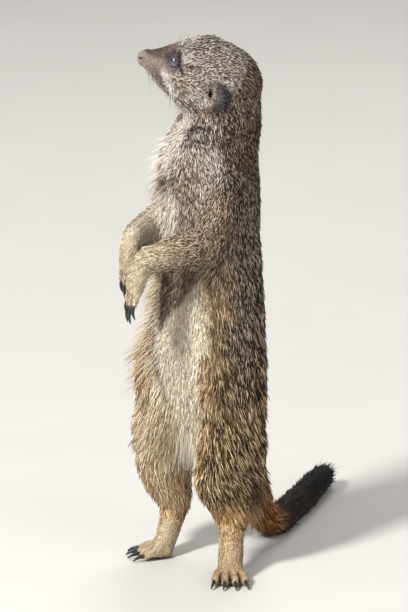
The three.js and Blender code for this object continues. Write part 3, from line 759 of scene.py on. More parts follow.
def mark_ears(coat):
    """A dark bowl with a pale fold, a furrow before it and a rusty patch under it."""
    ahead, above, fold = by_the_ear(coat.places)
    near = coat.skull * ramp(far(ear_places(coat.places)), 10.5, 8.5)
    coat.paint("ear", near * ramp(ahead + 0.5 * coat.fine, 1.0, -2.0))
    coat.paint("tuft", 0.9 * near * bump(fold, 0.8) * ramp(above, -6.5, -5) * ramp(above, 6.5, 5))
    coat.paint("cheek", 0.8 * near * bump(ahead - 3.4 + 0.4 * above, 0.8) * bump(above + 0.5, 3))
    below = bump(ahead - 0.5, 6) * bump(above + 11.5, 3.5)
    coat.paint("rust", 0.6 * coat.skull * below * ramp(coat.side, 12, 17))


def markings(places, shares):
    """How far each place has each kind of coat. A later mark covers the earlier ones."""
    coat = Coat(places, shares)
    for mark in (mark_back_and_flanks, mark_chest, mark_belly, mark_upper_back, mark_arms, mark_legs):
        mark(coat)
    for mark in (mark_tail, mark_head, mark_eyes, mark_ears):
        mark(coat)
    # Painted shade: the folds under the jaw are darkened.
    coat.paint("mask", 1.2 * neck_folds(places))
    # Painted shade: the grooves between the toes are darkened.
    coat.paint("nape", 1.2 * toe_gaps(places))
    return coat.weights


def tone(weights, lightness):
    """The colour between dark, middle and pale hairs, for a number from 0 to 1 at each place."""
    dark_end, pale_start = weights @ DARK_SHARE, 1 - weights @ PALE_SHARE
    dark, middle, pale = (weights @ TONES[:, k] for k in range(3))
    to_middle = ramp(lightness, dark_end - 0.06, dark_end + 0.12)[:, None]
    to_pale = ramp(lightness, pale_start - 0.10, pale_start + 0.10)[:, None]
    return (dark * (1 - to_middle) + middle * to_middle) * (1 - to_pale) + pale * to_pale


def bare_skin(places, normals, shares):
    """How far each place is bare, for each kind of bare skin."""
    head, eye = in_head(places), eye_places(places)
    nose = share_of(shares, "nose") * ramp(head[:, 1] + 0.3 * fine_mottle(places), 33.0, 34.6)
    soles = share_of(shares, "hind_paw") * ramp(places[:, 2], 3.0, 1.4)
    palms = share_of(shares, "forepaw") * ramp(normals @ unit(np.array([0.2, 0.75, 0.2])), 0.35, 0.7)
    _, along, over = eye_directions(unit(eye))
    lids = ramp(np.hypot(along, over * 1.5), 3.6, 2.8) * ramp(far(eye), 6, 5)
    ahead, above, _ = by_the_ear(places)
    near_ear = ramp(far(ear_places(places)), 10, 8) * ramp(np.abs(head[:, 0]), 14, 16)
    bowl = near_ear * spot(ahead + 4.6, above + 0.5, 2.6, 5.0)
    nostril = spot(np.abs(head[:, 0]) - 1.85, (head - NOSE) @ NOSE_UP - 0.05, 0.8, 0.7)
    nostril *= ramp(head[:, 1], 30, 31)
    # The mouths of the ear canals and the nostrils are painted near black: painted shade in the holes.
    holes = np.clip(1.5 * np.maximum(near_ear * in_canal(ahead, above), nostril), 0, 1)
    return nose, soles, palms, lids, bowl, holes


def paint_skin(mesh, shares):
    """Colours the skin, marks it as bare where it is, and gives back how bare each point is."""
    places = places_of(mesh)
    weights = markings(places, shares)
    nose, soles, palms, lids, bowl, holes = bare_skin(places, normals_of(mesh), shares)
    pads = np.maximum(soles, 0.8 * palms)
    for name, mask in (("nose", nose), ("sole", pads), ("lid", lids), ("canal", holes)):
        lay_over(weights, name, mask)
    bare = np.clip(np.maximum.reduce([nose, soles, 0.8 * palms, 0.8 * lids, 0.85 * bowl, holes]), 0, 1)
    # Between the hairs the skin lies in shade.
    colour = tone(weights, np.clip(0.5 + 0.25 * fine_mottle(places), 0, 1)) * (0.8 + 0.2 * bare[:, None])
    colour_points(mesh, colour)
    mesh.attributes.new("bare", "FLOAT", "POINT").data.foreach_set("value", bare * (1 - holes))
    return bare


# ---- the coat -----------------------------------------------------------------------------------
# For each part: tufts per square millimetre, then length, width and lift in millimetres and degrees.
TUFTS = {
    "head": (7.9, 1.7, 0.29, 16), "nose": (6.0, 0.9, 0.20, 10), "ear": (8.0, 1.2, 0.22, 14),
    "neck": (6.6, 3.4, 0.32, 18), "trunk": (5.4, 4.1, 0.33, 17), "upper_arm": (6.2, 2.6, 0.34, 17),
    "forearm": (6.8, 2.0, 0.31, 15), "forepaw": (8.0, 1.5, 0.28, 13), "thigh": (4.8, 6.6, 0.34, 14),
    "shank": (5.2, 5.2, 0.34, 15), "hind_paw": (8.5, 1.6, 0.29, 12), "tail": (4.0, 5.0, 0.38, 18),
}

sway = [Noise(13.0, 20 + k) for k in range(3)]
ripple = [Noise(3.2, 30 + k) for k in range(3)]


def lie_of_coat(mesh, shares):
    """Which way the hair lies at each skin point, along the surface."""
    places, normals = places_of(mesh), normals_of(mesh)
    bones = np.array([unit(np.subtract(*BONES[name][::-1]).astype(float)) for name in FLESH])
    lie = shares @ bones
    head = in_head(places)
    skull = share_of(shares, "head", "nose")[:, None]
    # It runs back from the nose over the head, and back and down round each ear.
    from_nose = unit(head - [0, 37, -7.5]) + np.array([0, 0, -0.5]) * ramp(head[:, 1:2], 5, -25)
    lie = lie * (1 - skull) + unit(from_nose) @ HEAD_AXES.T * skull
    ear = share_of(shares, "ear")[:, None]
    from_canal = (unit(ear_places(places)) * [0, 0.4, 0.5] + [0, -0.8, 0]) * mirror(places)
    lie = lie * (1 - ear) + from_canal @ HEAD_AXES.T * ear
    # On the chest and the belly the hair parts in the middle and sweeps outwards.
    turn = around_trunk(places)
    parting = share_of(shares, "trunk") * ramp(np.abs(turn), 75, 30)
    lie[:, 0] += 0.4 * parting * np.clip(turn / 30, -1, 1)
    # Outside the legs it sweeps back towards the heel.
    low = share_of(shares, "thigh", "shank") * ramp(places[:, 2], 112, 84)
    lie[:, 1] += 0.55 * low * ramp(np.abs(places[:, 0] - BETWEEN_FEET[0]), 16, 28)
    lie = lie - normals * np.sum(lie * normals, axis=1, keepdims=True)
    lie = relax(unit(lie), read(mesh.edges, "vertices", 2, np.int32), 12)
    return unit(lie - normals * np.sum(lie * normals, axis=1, keepdims=True))


def unwrap(skin, faces, name):
    """Lays the chosen faces of the skin out flat, and gives the place of each of their corners."""
    patch = skin.copy()
    patch.data = skin.data.copy()
    patch.name = f"unwrap_{name}"
    bpy.context.collection.objects.link(patch)
    work = bmesh.new()
    work.from_mesh(patch.data)
    work.faces.ensure_lookup_table()
    keep = set(faces.tolist())
    bmesh.ops.delete(work, geom=[f for f in work.faces if f.index not in keep], context="FACES")
    work.to_mesh(patch.data)
    work.free()
    bpy.ops.object.select_all(action="DESELECT")
    patch.select_set(True)
    bpy.context.view_layer.objects.active = patch
    bpy.ops.object.mode_set(mode="EDIT")
    bpy.ops.mesh.select_all(action="SELECT")
    bpy.ops.uv.smart_project(angle_limit=math.radians(66), island_margin=0.004)
    bpy.ops.object.mode_set(mode="OBJECT")
    flat = read(patch.data.uv_layers.active.data, "uv", 2)
    bpy.data.objects.remove(patch)
    return flat


class Skin:
    """The skin's triangles, with what the coat needs to know at each of their corners."""

    def __init__(self, skin, shares):
        mesh = skin.data
        self.skin, self.shares = skin, shares
        self.places, self.normals = places_of(mesh), normals_of(mesh)
        self.lie = lie_of_coat(mesh, shares)
        mesh.calc_loop_triangles()
        self.corners = read(mesh.loop_triangles, "vertices", 3, np.int32)
        self.loops = read(mesh.loop_triangles, "loops", 3, np.int32)
        self.face = read(mesh.loop_triangles, "polygon_index", 1, np.int32)
        a, b, c = (self.places[self.corners[:, k]] for k in range(3))
        self.area = far(np.cross(b - a, c - a)) / 2

    def flat_places(self, chosen, name):
        """The corners of the chosen triangles, on a flat map of just those."""
        faces = np.unique(self.face[chosen])
        polygons = self.skin.data.polygons
        starts = read(polygons, "loop_start", 1, np.int32)[faces]
        sizes = read(polygons, "loop_total", 1, np.int32)[faces]
        loops = np.concatenate([np.arange(s, s + n) for s, n in zip(starts, sizes)])
        flat = np.zeros((len(self.skin.data.loops), 2))
        flat[loops] = unwrap(self.skin, faces, name)
        return flat[self.loops[chosen]]


# ---- tufts --------------------------------------------------------------------------------------
STRAND_TAPER = (1.0, 0.95, 0.75, 0.45)  # the width of each ring of a long lock, from its root
RINGS = len(STRAND_TAPER)


def leaf_tufts(root, way, up, length, width):
    """Short closed tufts, widest in the middle, which rise from the skin and bend back to it."""
    across = unit(np.cross(way, up))
    over = np.cross(across, way)
    length, width = length[:, None], width[:, None]
    middle = root + way * length * 0.5 + over * (0.05 * length + 0.12 * width)
    base = root - way * 0.3 - over * 0.2
    tip = root + way * length - over * 0.03 * length
    places = np.stack([base, middle - across * width / 2, middle + across * width / 2, tip], 1)
    facing = np.stack([up, up * 0.8 - across * 0.6, up * 0.8 + across * 0.6, up * 0.8 + way * 0.4], 1)
    return places, unit(facing)


def strand_tufts(root, way, up, length, width, droop):
    """Long closed locks of hair: three-sided, tapering, and bending over by the droop."""
    across = unit(np.cross(way, up))
    over = np.cross(across, way)
    length, width = length[:, None], width[:, None]
    places, facing = [], []
    for step, share in enumerate(STRAND_TAPER):
        t = step / RINGS
        middle = root + way * length * t + droop * length * t * t - (way + over) * 0.3 * (step == 0)
        for side, rise in ((-0.5, 0), (0.5, 0), (0, 0.6)):
            places.append(middle + (across * side + over * rise) * width * share)
            facing.append(up * 0.8 + across * side)
    places.append(root + way * length + droop * length)
    facing.append(up * 0.8 + way * 0.4)
    return np.stack(places, 1), unit(np.stack(facing, 1))


# A short tuft and a long lock: faces, how far along each point is, and its spot on the tuft's patch.
LEAF = {
    "faces": [(0, 2, 1), (3, 1, 2), (0, 1, 3), (0, 3, 2)],
    "along": [0, 0.6, 0.6, 1],
    "spot": [(0, -0.5), (-0.5, 0), (0.5, 0), (0, 0.5)],
}
ROUND = ((0, 1), (1, 2), (2, 0))  # the three sides of a ring
STRAND = {
    "faces": [(3 * r + a, 3 * r + b + 3, 3 * r + b) for r in range(RINGS - 1) for a, b in ROUND]
    + [(3 * r + a, 3 * r + a + 3, 3 * r + b + 3) for r in range(RINGS - 1) for a, b in ROUND]
    + [(9, 12, 10), (10, 12, 11), (11, 12, 9), (0, 1, 2)],
    "along": [r / RINGS for r in range(RINGS) for _ in range(3)] + [1],
    "spot": [(x, r / RINGS - 0.5) for r in range(RINGS) for x in (-0.4, 0.4, 0)] + [(0, 0.5)],
}
PATCH = 0.003  # how wide a tuft's patch is on its coat's flat map
FLOOR_GAP = 0.05  # no hair comes nearer to the floor


def colour_points(mesh, colours):
    """Stores a colour for each point, for the finishes to read."""
    layer = mesh.color_attributes.new("coat", "FLOAT_COLOR", "POINT")
    layer.data.foreach_set("color", np.hstack([colours, np.ones((len(colours), 1))]).ravel())


def mesh_of(name, batches):
    """One mesh from batches of tufts: points, normals, plan, colours at root and tip, and flat places."""
    points, facing, faces, colours, flat, start = [], [], [], [], [], 0
    for (shape, normals), plan, root_colour, tip_colour, centre in batches:
        count, corners = shape.shape[:2]
        along = np.array(plan["along"], dtype=float)[None, :, None]
        order = np.array(plan["faces"])
        shape[:, :, 2] = np.maximum(shape[:, :, 2], FLOOR_GAP)
        points.append(shape.reshape(-1, 3))
        facing.append(normals.reshape(-1, 3))
        faces.append((order[None] + (start + np.arange(count) * corners)[:, None, None]).reshape(-1, 3))
        grade = ramp(along, 0, 0.6)
        colours.append((root_colour[:, None] * (1 - grade) + tip_colour[:, None] * grade).reshape(-1, 3))
        spots = centre[:, None] + np.array(plan["spot"])[None] * PATCH
        flat.append(spots[:, order.ravel()].reshape(-1, 2))
        start += count * corners
    points, faces = np.concatenate(points), np.concatenate(faces)
    mesh = bpy.data.meshes.new(name)
    mesh.vertices.add(len(points))
    mesh.loops.add(faces.size)
    mesh.polygons.add(len(faces))
    mesh.vertices.foreach_set("co", (points * MM).ravel())
    mesh.loops.foreach_set("vertex_index", faces.ravel().astype(np.int32))
    mesh.polygons.foreach_set("loop_start", np.arange(0, faces.size, 3, dtype=np.int32))
    mesh.update(calc_edges=True)
    mesh.shade_smooth()
    mesh.normals_split_custom_set(np.concatenate(facing)[faces.ravel()])
    colour_points(mesh, np.concatenate(colours))
    mesh.uv_layers.new(name="OFBake").data.foreach_set("uv", np.clip(np.concatenate(flat), 0, 1).ravel())
    piece = bpy.data.objects.new(name, mesh)
    bpy.context.collection.objects.link(piece)
    return piece


def loose_hair(at, spread, count, long, lift, lean, dark=0.0):
    """A place of long loose hair: its middle, from between the feet, and how far it spreads; how many
    locks, their length and lift in degrees; which way they lean, and how dark and thin they are."""
    lock = {"long": long, "lift": lift, "lean": np.array(lean), "dark": dark}
    return {"at": at, "spread": spread, "count": count} | lock


WISPS = {
    "chest": loose_hair((-17, -8, 220), (9, 9, 17), 240, 9, 38, (-0.5, -0.4, 0)),
    "armpit": loose_hair((-8, -11, 198), (9, 7, 9), 220, 7, 24, (0, -0.2, -0.3)),
    "far_flank": loose_hair((-24, -6, 118), (9, 12, 16), 480, 12, 34, (-0.5, -0.4, 0)),
    "far_side": loose_hair((-21, -4, 152), (7, 8, 16), 520, 9, 40, (-0.6, -0.5, 0)),
    "crotch": loose_hair((1, 0, 70), (12, 10, 10), 700, 15, 12, (0, -0.1, -1.3)),
    "fringe": loose_hair((33, 12, 46), (8, 10, 10), 560, 15, 12, (0.05, 0.35, -0.4), dark=0.3),
    "far_fringe": loose_hair((-36, 12, 58), (8, 10, 16), 220, 8, 16, (0, 0.1, -0.2)),
    "rump": loose_hair((16, 40, 78), (16, 10, 20), 220, 8, 20, (0.1, 0.2, 0)),
    "crown": loose_hair((-9, 13, 288), (7, 8, 4), 160, 3.6, 50, (0, 0, 0.3)),
    "throat": loose_hair((-16, 3, 250), (6, 6, 8), 140, 5, 30, (-0.3, -0.2, -0.1)),
    "tail_brush": loose_hair((-37, 150, 13), (7, 10, 7), 420, 11, 6, (-0.2, 0.6, 0.35)),
    "chin": loose_hair(from_head(2, 16, -17), (7, 7, 5), 50, 4.0, 28, (0, 0, -0.5)),
    "whiskers": loose_hair(from_head(9, 27, -10), (4, 4, 4), 22, 11, 24, (0, 0, -0.1), dark=1),
    "far_whiskers": loose_hair(from_head(-9, 27, -10), (4, 4, 4), 22, 11, 24, (0, 0, -0.1), dark=1),
    "brow": loose_hair(from_head(8, 17, 8), (4, 4, 4), 9, 8, 55, (0, 0, 0.5), dark=1),
    "far_brow": loose_hair(from_head(-8, 17, 8), (4, 4, 4), 9, 8, 55, (0, 0, 0.5), dark=1),
}


def gather(root, way, length, up, spacing, pull, chance):
    """Draws the tips of neighbouring tufts together into locks. Gives each tuft's way and its lock."""
    locks = chance.permutation(len(root))[: max(int(len(root) / spacing), 1)]
    tree = KDTree(len(locks))
    for i, index in enumerate(locks):
        tree.insert(root[index], i)
    tree.balance()
    nearest = locks[np.array([tree.find(place)[1] for place in root])]
    goal = root[nearest] + way[nearest] * length[nearest, None]
    drawn = unit(goal - root)
    way = unit(way * (1 - pull[:, None]) + drawn * pull[:, None])
    rise = np.sum(way * up, axis=1, keepdims=True)
    return unit(way + up * np.clip(0.06 - rise, 0, None)), nearest


def grooming(root, shares):
    """Local changes to the tufts: how much longer, how much more lifted, how much closer together."""
    head, eye = in_head(root), eye_places(root)
    skull = share_of(shares, "head", "nose")
    trunk = share_of(shares, "trunk")
    body = trunk + share_of(shares, "neck")
    turn = np.abs(around_trunk(root))
    z = root[:, 2]
    longer = np.ones(len(root))
    longer *= 1 - 0.5 * skull * ramp(head[:, 1], 14, 25)
    longer *= 1 - 0.5 * skull * ramp(far(eye), 9, 5.5)
    longer *= 1 + 0.55 * skull * ramp(head[:, 1], -8, -26)
    longer *= 1 + 0.35 * skull * ramp(head[:, 2], -8, -18) * ramp(head[:, 1], 22, 8)
    longer *= 1 + 0.25 * body * ramp(turn, 50, 25) * ramp(z, 190, 205)
    longer *= 1 - 0.25 * trunk * ramp(turn, 50, 30) * ramp(z, 190, 175)
    longer *= 1 - 0.35 * share_of(shares, "hind_paw", "forepaw") * ramp(z, 14, 6)
    longer *= 1 - 0.3 * body * ramp(z, 165, 185) + 0.45 * trunk * ramp(z, 150, 100)
    longer *= 1 - 0.55 * neck_folds(root - [0, 0, 1.6]) - 0.3 * neck_folds(root)
    crest = skull * bump(head[:, 1] - 9, 8) * ramp(head[:, 2], 9, 14)
    longer *= 1 + 0.9 * crest
    lift = 14 * crest + 5 * body * ramp(turn, 60, 30) + 3 * body * ramp(turn, 40, 20) * ramp(z, 195, 205)
    closer = 1 + 0.5 * skull * ramp(far(eye), 10, 6) + 0.35 * skull * ramp(head[:, 1], 18, 26)
    return longer, lift, closer


def furriness(lightness):
    """Pale hairs lie on top and show a little wider than dark ones."""
    return 0.85 + 0.35 * lightness


def wisps(settings, surface, chosen, flat, weight, chance):
    """The long loose locks of one place, as far as they grow from the chosen triangles."""
    corners = surface.corners[chosen]
    middle = surface.places[corners].mean(1) - BETWEEN_FEET
    near = np.exp(-((((middle - settings["at"]) / settings["spread"]) ** 2).sum(1)))
    heap = np.cumsum(near * surface.area[chosen] * (weight > 0) * (near > 0.1))
    wide, deep, high = settings["spread"]
    rough_area = 1.8 * wide * high + 1.8 * deep * high
    count = int(settings["count"] * min(heap[-1] / rough_area, 1.0))
    if count < 2:
        return None
    pick = np.searchsorted(heap, chance.uniform(0, heap[-1], count))
    corner = corners[pick]
    root, up, lie = (values[corner].mean(1) for values in (surface.places, surface.normals, surface.lie))
    up = unit(up)
    rise = np.radians(settings["lift"] + chance.normal(0, 9, count))[:, None]
    way = lie * np.cos(rise) + up * np.sin(rise) + settings["lean"]
    way = unit(way + chance.normal(0, 0.16, (count, 3)))
    inward = np.minimum(np.sum(way * up, axis=1, keepdims=True) - 0.08, 0)
    way = unit(way - up * inward)
    length = settings["long"] * chance.uniform(0.6, 1.35, count)
    dark = settings["dark"]
    width = (0.26 - 0.1 * dark) * chance.uniform(0.8, 1.3, count)
    droop = np.array([0, 0, -0.22]) + chance.normal(0, 0.05, (count, 3))
    shares = surface.shares[corner].mean(1)
    lightness = np.clip(chance.uniform(0.35, 1.15, count), 0, 1) * (1 - dark)
    weights = markings(root, shares)
    tip_colour = tone(weights, lightness) * (1 - 0.75 * dark)
    root_colour = tone(weights, lightness * 0.7) * (0.75 - 0.55 * dark)
    shape = strand_tufts(root, way, up, length, width, droop)
    return shape, STRAND, root_colour, tip_colour, flat[pick].mean(1)


def scatter(weight, chance):
    """Roots spread over triangles by their weight: the triangle of each, and its share of the corners."""
    heap = np.cumsum(weight)
    count = int(heap[-1])
    pick = np.searchsorted(heap, chance.uniform(0, heap[-1], count))
    split = np.sort(chance.uniform(0, 1, (count, 2)), axis=1)
    part = np.stack([split[:, 0], split[:, 1] - split[:, 0], 1 - split[:, 1]], 1)[:, :, None]
    return pick, part


def lay_down(root, up, lie, rise, chance):
    """The way of each tuft: along the lie of the coat, wandering a little, and raised by its lift."""
    wander = np.stack([noise(root) for noise in sway], 1) * 0.26
    wander = wander + np.stack([noise(root) for noise in ripple], 1) * 0.16
    lie = lie + wander + chance.normal(0, 0.13, (len(root), 3))
    lie = unit(lie - up * np.sum(lie * up, axis=1, keepdims=True))
    rise = np.radians(np.clip(rise, 3, 60))[:, None]
    return lie * np.cos(rise) + up * np.sin(rise)


def hair_colours(root, shares, lightness, guard, chance):
    """The colours of each tuft at its root and its tip, guard hairs with the most contrast."""
    weights = markings(root, shares)
    soften = np.where(guard, 0, 0.22)[:, None]
    tip_colour = tone(weights, lightness) * (1 - soften) + tone(weights, 0.5 + 0 * lightness) * soften
    tip_colour *= chance.uniform(0.9, 1.1, (len(root), 1))
    return tone(weights, np.clip(lightness * 0.8, 0, 1)) * 0.55, tip_colour


def short_tufts(surface, chosen, weight, longer, lift, flat, chance):
    """The short tufts over the chosen triangles."""
    pick, part = scatter(weight, chance)
    count, corner = len(pick), surface.corners[chosen][pick]
    fields = (surface.places, surface.normals, surface.lie, surface.shares)
    root, up, lie, shares = ((values[corner] * part).sum(1) for values in fields)
    up = unit(up)
    _, length, width, rise = (shares @ from_table(TUFTS)).T
    length = length * longer[pick] * chance.uniform(0.72, 1.2, count)
    width = width * chance.uniform(0.75, 1.2, count) * (0.55 + 0.45 * longer[pick])
    rise = rise + lift[pick] + chance.normal(0, 5, count)
    # About one tuft in eight is a guard hair, longer, and lying over the rest. A few lift more.
    guard = chance.random(count) < 0.12
    length = np.where(guard, length * 1.35, length)
    root = root + up * (guard * 0.08 * length)[:, None]
    stray = chance.random(count) < 0.04
    rise = np.where(stray, rise + 14, rise)
    way = lay_down(root, up, lie, rise, chance)
    pull = ramp(length, 1.5, 6.0) * 0.5 * chance.uniform(0.4, 1, count)
    way, lock = gather(root, way, length, up, 2.6, pull, chance)
    # The tufts of a lock are about as light as each other, but half of all go their own way.
    lightness = np.clip(chance.random(count)[lock] + chance.normal(0, 0.2, count), 0, 1)
    alone = guard | (chance.random(count) < 0.5)
    lightness = np.where(alone, chance.random(count), lightness)
    root_colour, tip_colour = hair_colours(root, shares, lightness, guard, chance)
    shape = leaf_tufts(root, way, up, length * 1.05, width * furriness(lightness))
    return shape, LEAF, root_colour, tip_colour, (flat[pick] * part).sum(1)


def grow(name, index, surface, bare, chosen, hair):
    """One piece of the coat, over the chosen triangles of the skin."""
    chance = np.random.default_rng([7, index])
    corners = surface.corners[chosen]
    shares = surface.shares[corners].mean(1)
    longer, lift, closer = grooming(surface.places[corners].mean(1), shares)
    density = (shares @ from_table(TUFTS))[:, 0] * closer
    weight = surface.area[chosen] * density * (1 - bare[corners].mean(1))
    flat = surface.flat_places(chosen, name)
    short = short_tufts(surface, chosen, weight, longer, lift, flat, chance)
    loose = [wisps(settings, surface, chosen, flat, weight, chance) for settings in WISPS.values()]
    piece = mesh_of(name, [short] + [batch for batch in loose if batch])
    piece.data.materials.append(hair)
    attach(piece, "root")


# ---- finishes -----------------------------------------------------------------------------------
def finish(name, **sockets):
    """A new material, its nodes and links, and its shader with some sockets set."""
    material = bpy.data.materials.new(name)
    material.use_nodes = True
    shader = material.node_tree.nodes["Principled BSDF"]
    for key, value in sockets.items():
        shader.inputs[key.replace("_", " ")].default_value = value
    return material, material.node_tree.nodes, material.node_tree.links, shader


def object_place(nodes):
    return nodes.new("ShaderNodeTexCoord").outputs["Object"]


def attribute(nodes, name):
    node = nodes.new("ShaderNodeAttribute")
    node.attribute_name = name
    return node


def relief(nodes, links, height, strength, distance, shader):
    """Bumps the surface by a height."""
    node = nodes.new("ShaderNodeBump")
    node.inputs["Strength"].default_value = strength
    node.inputs["Distance"].default_value = distance
    links.new(height, node.inputs["Height"])
    links.new(node.outputs["Normal"], shader.inputs["Normal"])


def noise_node(nodes, links, scale, detail, coordinates):
    node = nodes.new("ShaderNodeTexNoise")
    node.inputs["Scale"].default_value = scale
    node.inputs["Detail"].default_value = detail
    links.new(coordinates, node.inputs["Vector"])
    return node.outputs["Fac"]


def map_range(nodes, links, value, low, high):
    node = nodes.new("ShaderNodeMapRange")
    links.new(value, node.inputs["Value"])
    node.inputs["To Min"].default_value = low
    node.inputs["To Max"].default_value = high
    return node.outputs["Result"]


def colour_ramp(nodes, links, value, stops):
    """Colours by a value, from a colour for each of its stops, the lowest first."""
    node = nodes.new("ShaderNodeValToRGB")
    positions = list(stops)
    for element, position in zip(node.color_ramp.elements, (positions[0], positions[-1])):
        element.position = position
        element.color = (*linear(*stops[position]), 1)
    for position in positions[1:-1]:
        node.color_ramp.elements.new(position).color = (*linear(*stops[position]), 1)
    links.new(value, node.inputs["Fac"])
    return node.outputs["Color"]


def multiply(nodes, links, colour, value):
    node = nodes.new("ShaderNodeVectorMath")
    node.operation = "SCALE"
    links.new(colour, node.inputs[0])
    links.new(value, node.inputs["Scale"])
    return node.outputs["Vector"]


def coat_finish():
    """Dry hair: the tuft's own colour, with fine streaks, a soft gloss and a little sheen."""
    material, nodes, links, shader = finish("coat_hair", Sheen_Weight=0.02, Sheen_Roughness=0.5)
    shader.inputs["Specular IOR Level"].default_value = 0.14
    colour = attribute(nodes, "coat").outputs["Color"]
    place = object_place(nodes)
    streaks = map_range(nodes, links, noise_node(nodes, links, 900, 3, place), 0.78, 1.22)
    links.new(multiply(nodes, links, colour, streaks), shader.inputs["Base Color"])
    dryness = map_range(nodes, links, noise_node(nodes, links, 300, 2, place), 0.5, 0.75)
    links.new(dryness, shader.inputs["Roughness"])
    return material


def skin_finish():
    """Short underfur in the coat's colours, and leathery bare skin at the nose, lids, ears and pads."""
    material, nodes, links, shader = finish("skin")
    shader.inputs["Specular IOR Level"].default_value = 0.35
    colour = attribute(nodes, "coat").outputs["Color"]
    bare = attribute(nodes, "bare").outputs["Fac"]
    place = object_place(nodes)
    down = nodes.new("ShaderNodeMapping")
    down.inputs["Scale"].default_value = (1, 1, 0.25)
    links.new(place, down.inputs["Vector"])
    hairs = noise_node(nodes, links, 1600, 4, down.outputs["Vector"])
    pebbles = nodes.new("ShaderNodeTexVoronoi")
    pebbles.inputs["Scale"].default_value = 1500
    links.new(place, pebbles.inputs["Vector"])
    height = nodes.new("ShaderNodeMix")
    links.new(bare, height.inputs["Factor"])
    links.new(hairs, height.inputs["A"])
    links.new(pebbles.outputs["Distance"], height.inputs["B"])
    shade = map_range(nodes, links, height.outputs["Result"], 0.72, 1.28)
    links.new(multiply(nodes, links, colour, shade), shader.inputs["Base Color"])
    links.new(map_range(nodes, links, bare, 0.78, 0.42), shader.inputs["Roughness"])
    relief(nodes, links, height.outputs["Result"], 0.5, 0.0002, shader)
    return material


def claw_finish():
    """Blue-black horn, with streaks along it."""
    material, nodes, links, shader = finish("claw_horn")
    streaks = noise_node(nodes, links, 700, 4, object_place(nodes))
    shades = colour_ramp(nodes, links, streaks, {0.3: (24, 22, 21), 0.75: (60, 58, 58)})
    links.new(shades, shader.inputs["Base Color"])
    relief(nodes, links, streaks, 0.25, 0.0001, shader)
    links.new(map_range(nodes, links, streaks, 0.28, 0.48), shader.inputs["Roughness"])
    return material


def eye_finish():
    """A wet dark eye: black pupil, brown iris, darker rim."""
    material, nodes, links, shader = finish("eye", Roughness=0.3, Coat_Weight=0.22, Coat_Roughness=0.08)
    white, rim, iris, inner, pupil = (34, 26, 24), (28, 17, 12), (62, 38, 22), (46, 27, 17), (6, 5, 5)
    stops = {0.0: white, 0.50: rim, 0.60: iris, 0.80: inner, 0.84: pupil, 1.0: pupil}
    rings = colour_ramp(nodes, links, attribute(nodes, "gaze").outputs["Fac"], stops)
    fibres = map_range(nodes, links, noise_node(nodes, links, 2600, 3, object_place(nodes)), 0.7, 1.3)
    links.new(multiply(nodes, links, rings, fibres), shader.inputs["Base Color"])
    return material


def floor_finish():
    """Plain pale paper, with a faint unevenness."""
    material, nodes, links, shader = finish("floor", Roughness=0.9)
    grain = noise_node(nodes, links, 12, 3, object_place(nodes))
    shades = colour_ramp(nodes, links, grain, {0.0: (196, 193, 188), 1.0: (204, 201, 196)})
    links.new(shades, shader.inputs["Base Color"])
    return material


# ---- eyes and claws -----------------------------------------------------------------------------
CLAW_SWELL = 0.12


def make_eye(side, handed):
    """An eyeball with a clear bulge in front, where it looks."""
    look = unit(HEAD_AXES @ (LOOK * [handed, 1, 1]))
    bpy.ops.object.select_all(action="DESELECT")
    bpy.ops.mesh.primitive_uv_sphere_add(segments=48, ring_count=32, radius=EYEBALL["radius"] * MM)
    eye = bpy.context.object
    eye.name = eye.data.name = f"eyeball_{side}"
    places = places_of(eye.data)
    facing = unit(places)[:, 2]
    places *= (1 + 0.05 * ramp(facing, 0.72, 0.95))[:, None]
    turn = np.array(Vector((0, 0, 1)).rotation_difference(Vector(look)).to_matrix())
    set_places(eye.data, places @ turn.T + SKULL + HEAD_AXES @ (EYE_MIDDLE * [handed, 1, 1]))
    eye.data.attributes.new("gaze", "FLOAT", "POINT").data.foreach_set("value", np.clip(facing, 0, 1))
    eye.data.shade_smooth()
    eye.data.materials.append(eye_finish())
    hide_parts(f"eye_{side}")
    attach(eye, "root")


def make_claws(foot, side, horn):
    """The four claws of a paw, smoothed, and swollen a little to make up for it."""
    names = [f"claw_{foot}_{side}_{i}" for i in DIGITS]
    claws = join([node_copy(name, CLAW_SWELL) for name in names], f"claws_{foot}_{side}")
    apply_modifier(claws, "SUBSURF", levels=2, render_levels=2)
    claws.data.shade_smooth()
    claws.data.materials.clear()
    claws.data.materials.append(horn)
    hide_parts(*names)
    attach(claws, "root")


# ---- the studio ---------------------------------------------------------------------------------
def aim_at(thing, place, target):
    thing.location = place
    thing.rotation_euler = (Vector(place) - Vector(target)).to_track_quat("Z", "Y").to_euler()


def make_camera(target, toward):
    camera = bpy.data.objects.new("camera", bpy.data.cameras.new("camera"))
    bpy.context.scene.collection.objects.link(camera)
    aim_at(camera, target + toward * VIEW["distance"], target)
    camera.data.sensor_fit = "VERTICAL"
    camera.data.angle = 2 * math.atan(VIEW["height"] / 2 / VIEW["distance"])
    bpy.context.scene.camera = camera


def make_lights(target, front, right):
    """Three round lamps, each placed by how far it is before, to the right of and above the target."""
    for name, energy, size, before, beside, above in (
        ("key", 50, 0.32, 1.0, -0.95, 1.25),
        ("fill", 6, 1.0, 1.0, 1.1, 0.5),
        ("back", 10, 0.7, -1.1, 0.2, 1.1),
    ):
        lamp = bpy.data.objects.new(name, bpy.data.lights.new(name, "AREA"))
        lamp.data.shape = "DISK"
        lamp.data.energy = energy
        lamp.data.size = size
        bpy.context.scene.collection.objects.link(lamp)
        place = front * before + right * beside + Vector((0, 0, above))
        aim_at(lamp, target + place, target)
    world = bpy.data.worlds.new("room")
    world.use_nodes = True
    world.node_tree.nodes["Background"].inputs["Color"].default_value = (1.0, 0.98, 0.97, 1)
    world.node_tree.nodes["Background"].inputs["Strength"].default_value = 0.42
    bpy.context.scene.world = world


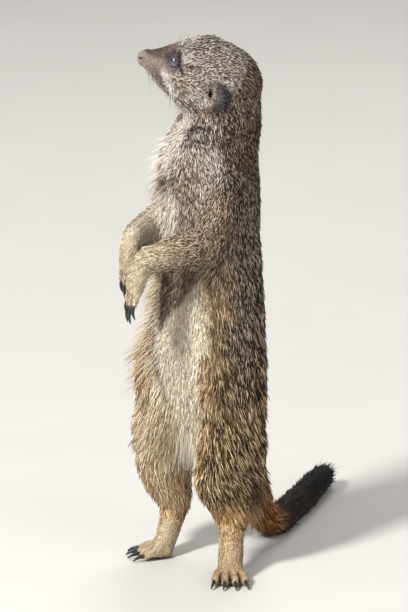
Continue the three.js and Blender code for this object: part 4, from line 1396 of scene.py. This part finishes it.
def make_studio():
    target = Vector((BETWEEN_FEET + AIM) * MM)
    azimuth, elevation = math.radians(VIEW["azimuth"]), math.radians(VIEW["elevation"])
    level = math.cos(elevation)
    toward = Vector((math.sin(azimuth) * level, -math.cos(azimuth) * level, math.sin(elevation)))
    make_camera(target, toward)
    right = Vector((math.cos(azimuth), math.sin(azimuth), 0))
    make_lights(target, Vector((toward.x, toward.y, 0)).normalized(), right)
    bpy.ops.mesh.primitive_plane_add(size=6.0)
    floor = bpy.context.object
    floor.name = "floor"
    floor.data.materials.append(floor_finish())
    bpy.context.scene.view_settings.view_transform = "Standard"


# ---- the whole animal ---------------------------------------------------------------------------
def pieces_of_coat(surface):
    """Which triangles of the skin each piece of the coat covers, and its slot."""
    part = np.array(FLESH)[surface.shares[surface.corners].mean(1).argmax(1)]
    middles = surface.places[surface.corners].mean(1)
    in_front = np.abs(around_trunk(middles)) < 90
    high = middles[:, 2] > 150
    on_trunk = part == "trunk"
    pieces = {
        "coat_head": (np.isin(part, ["head", "nose", "ear_left", "ear_right"]), "grizzled_coat"),
        "coat_neck": (part == "neck", "grizzled_coat"),
        "coat_chest": (on_trunk & in_front & high, "pale_coat"),
        "coat_belly": (on_trunk & in_front & ~high, "pale_coat"),
        "coat_shoulders": (on_trunk & ~in_front & high, "grizzled_coat"),
        "coat_rump": (on_trunk & ~in_front & ~high, "grizzled_coat"),
        "coat_tail": (np.isin(part, TAIL), "dark_coat"),
    }
    for side in SIDES:
        pieces[f"coat_arm_{side}"] = (np.isin(part, [f"{name}_{side}" for name in ARM]), "pale_coat")
        pieces[f"coat_leg_{side}"] = (np.isin(part, [f"{name}_{side}" for name in LEG]), "tawny_coat")
    return pieces


hair = coat_finish()
skin, shares = make_skin()
bare = paint_skin(skin.data, shares)
skin.data.materials.clear()
skin.data.materials.append(skin_finish())
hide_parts(*FLESH)
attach(skin, "root")
surface = Skin(skin, shares)
for index, (name, (chosen, slot)) in enumerate(pieces_of_coat(surface).items()):
    grow(name, index, surface, bare, np.flatnonzero(chosen), hair)

horn = claw_finish()
for side, handed in SIDES.items():
    make_eye(side, handed)
    for foot in PAWS:
        make_claws(foot, side, horn)

make_studio()
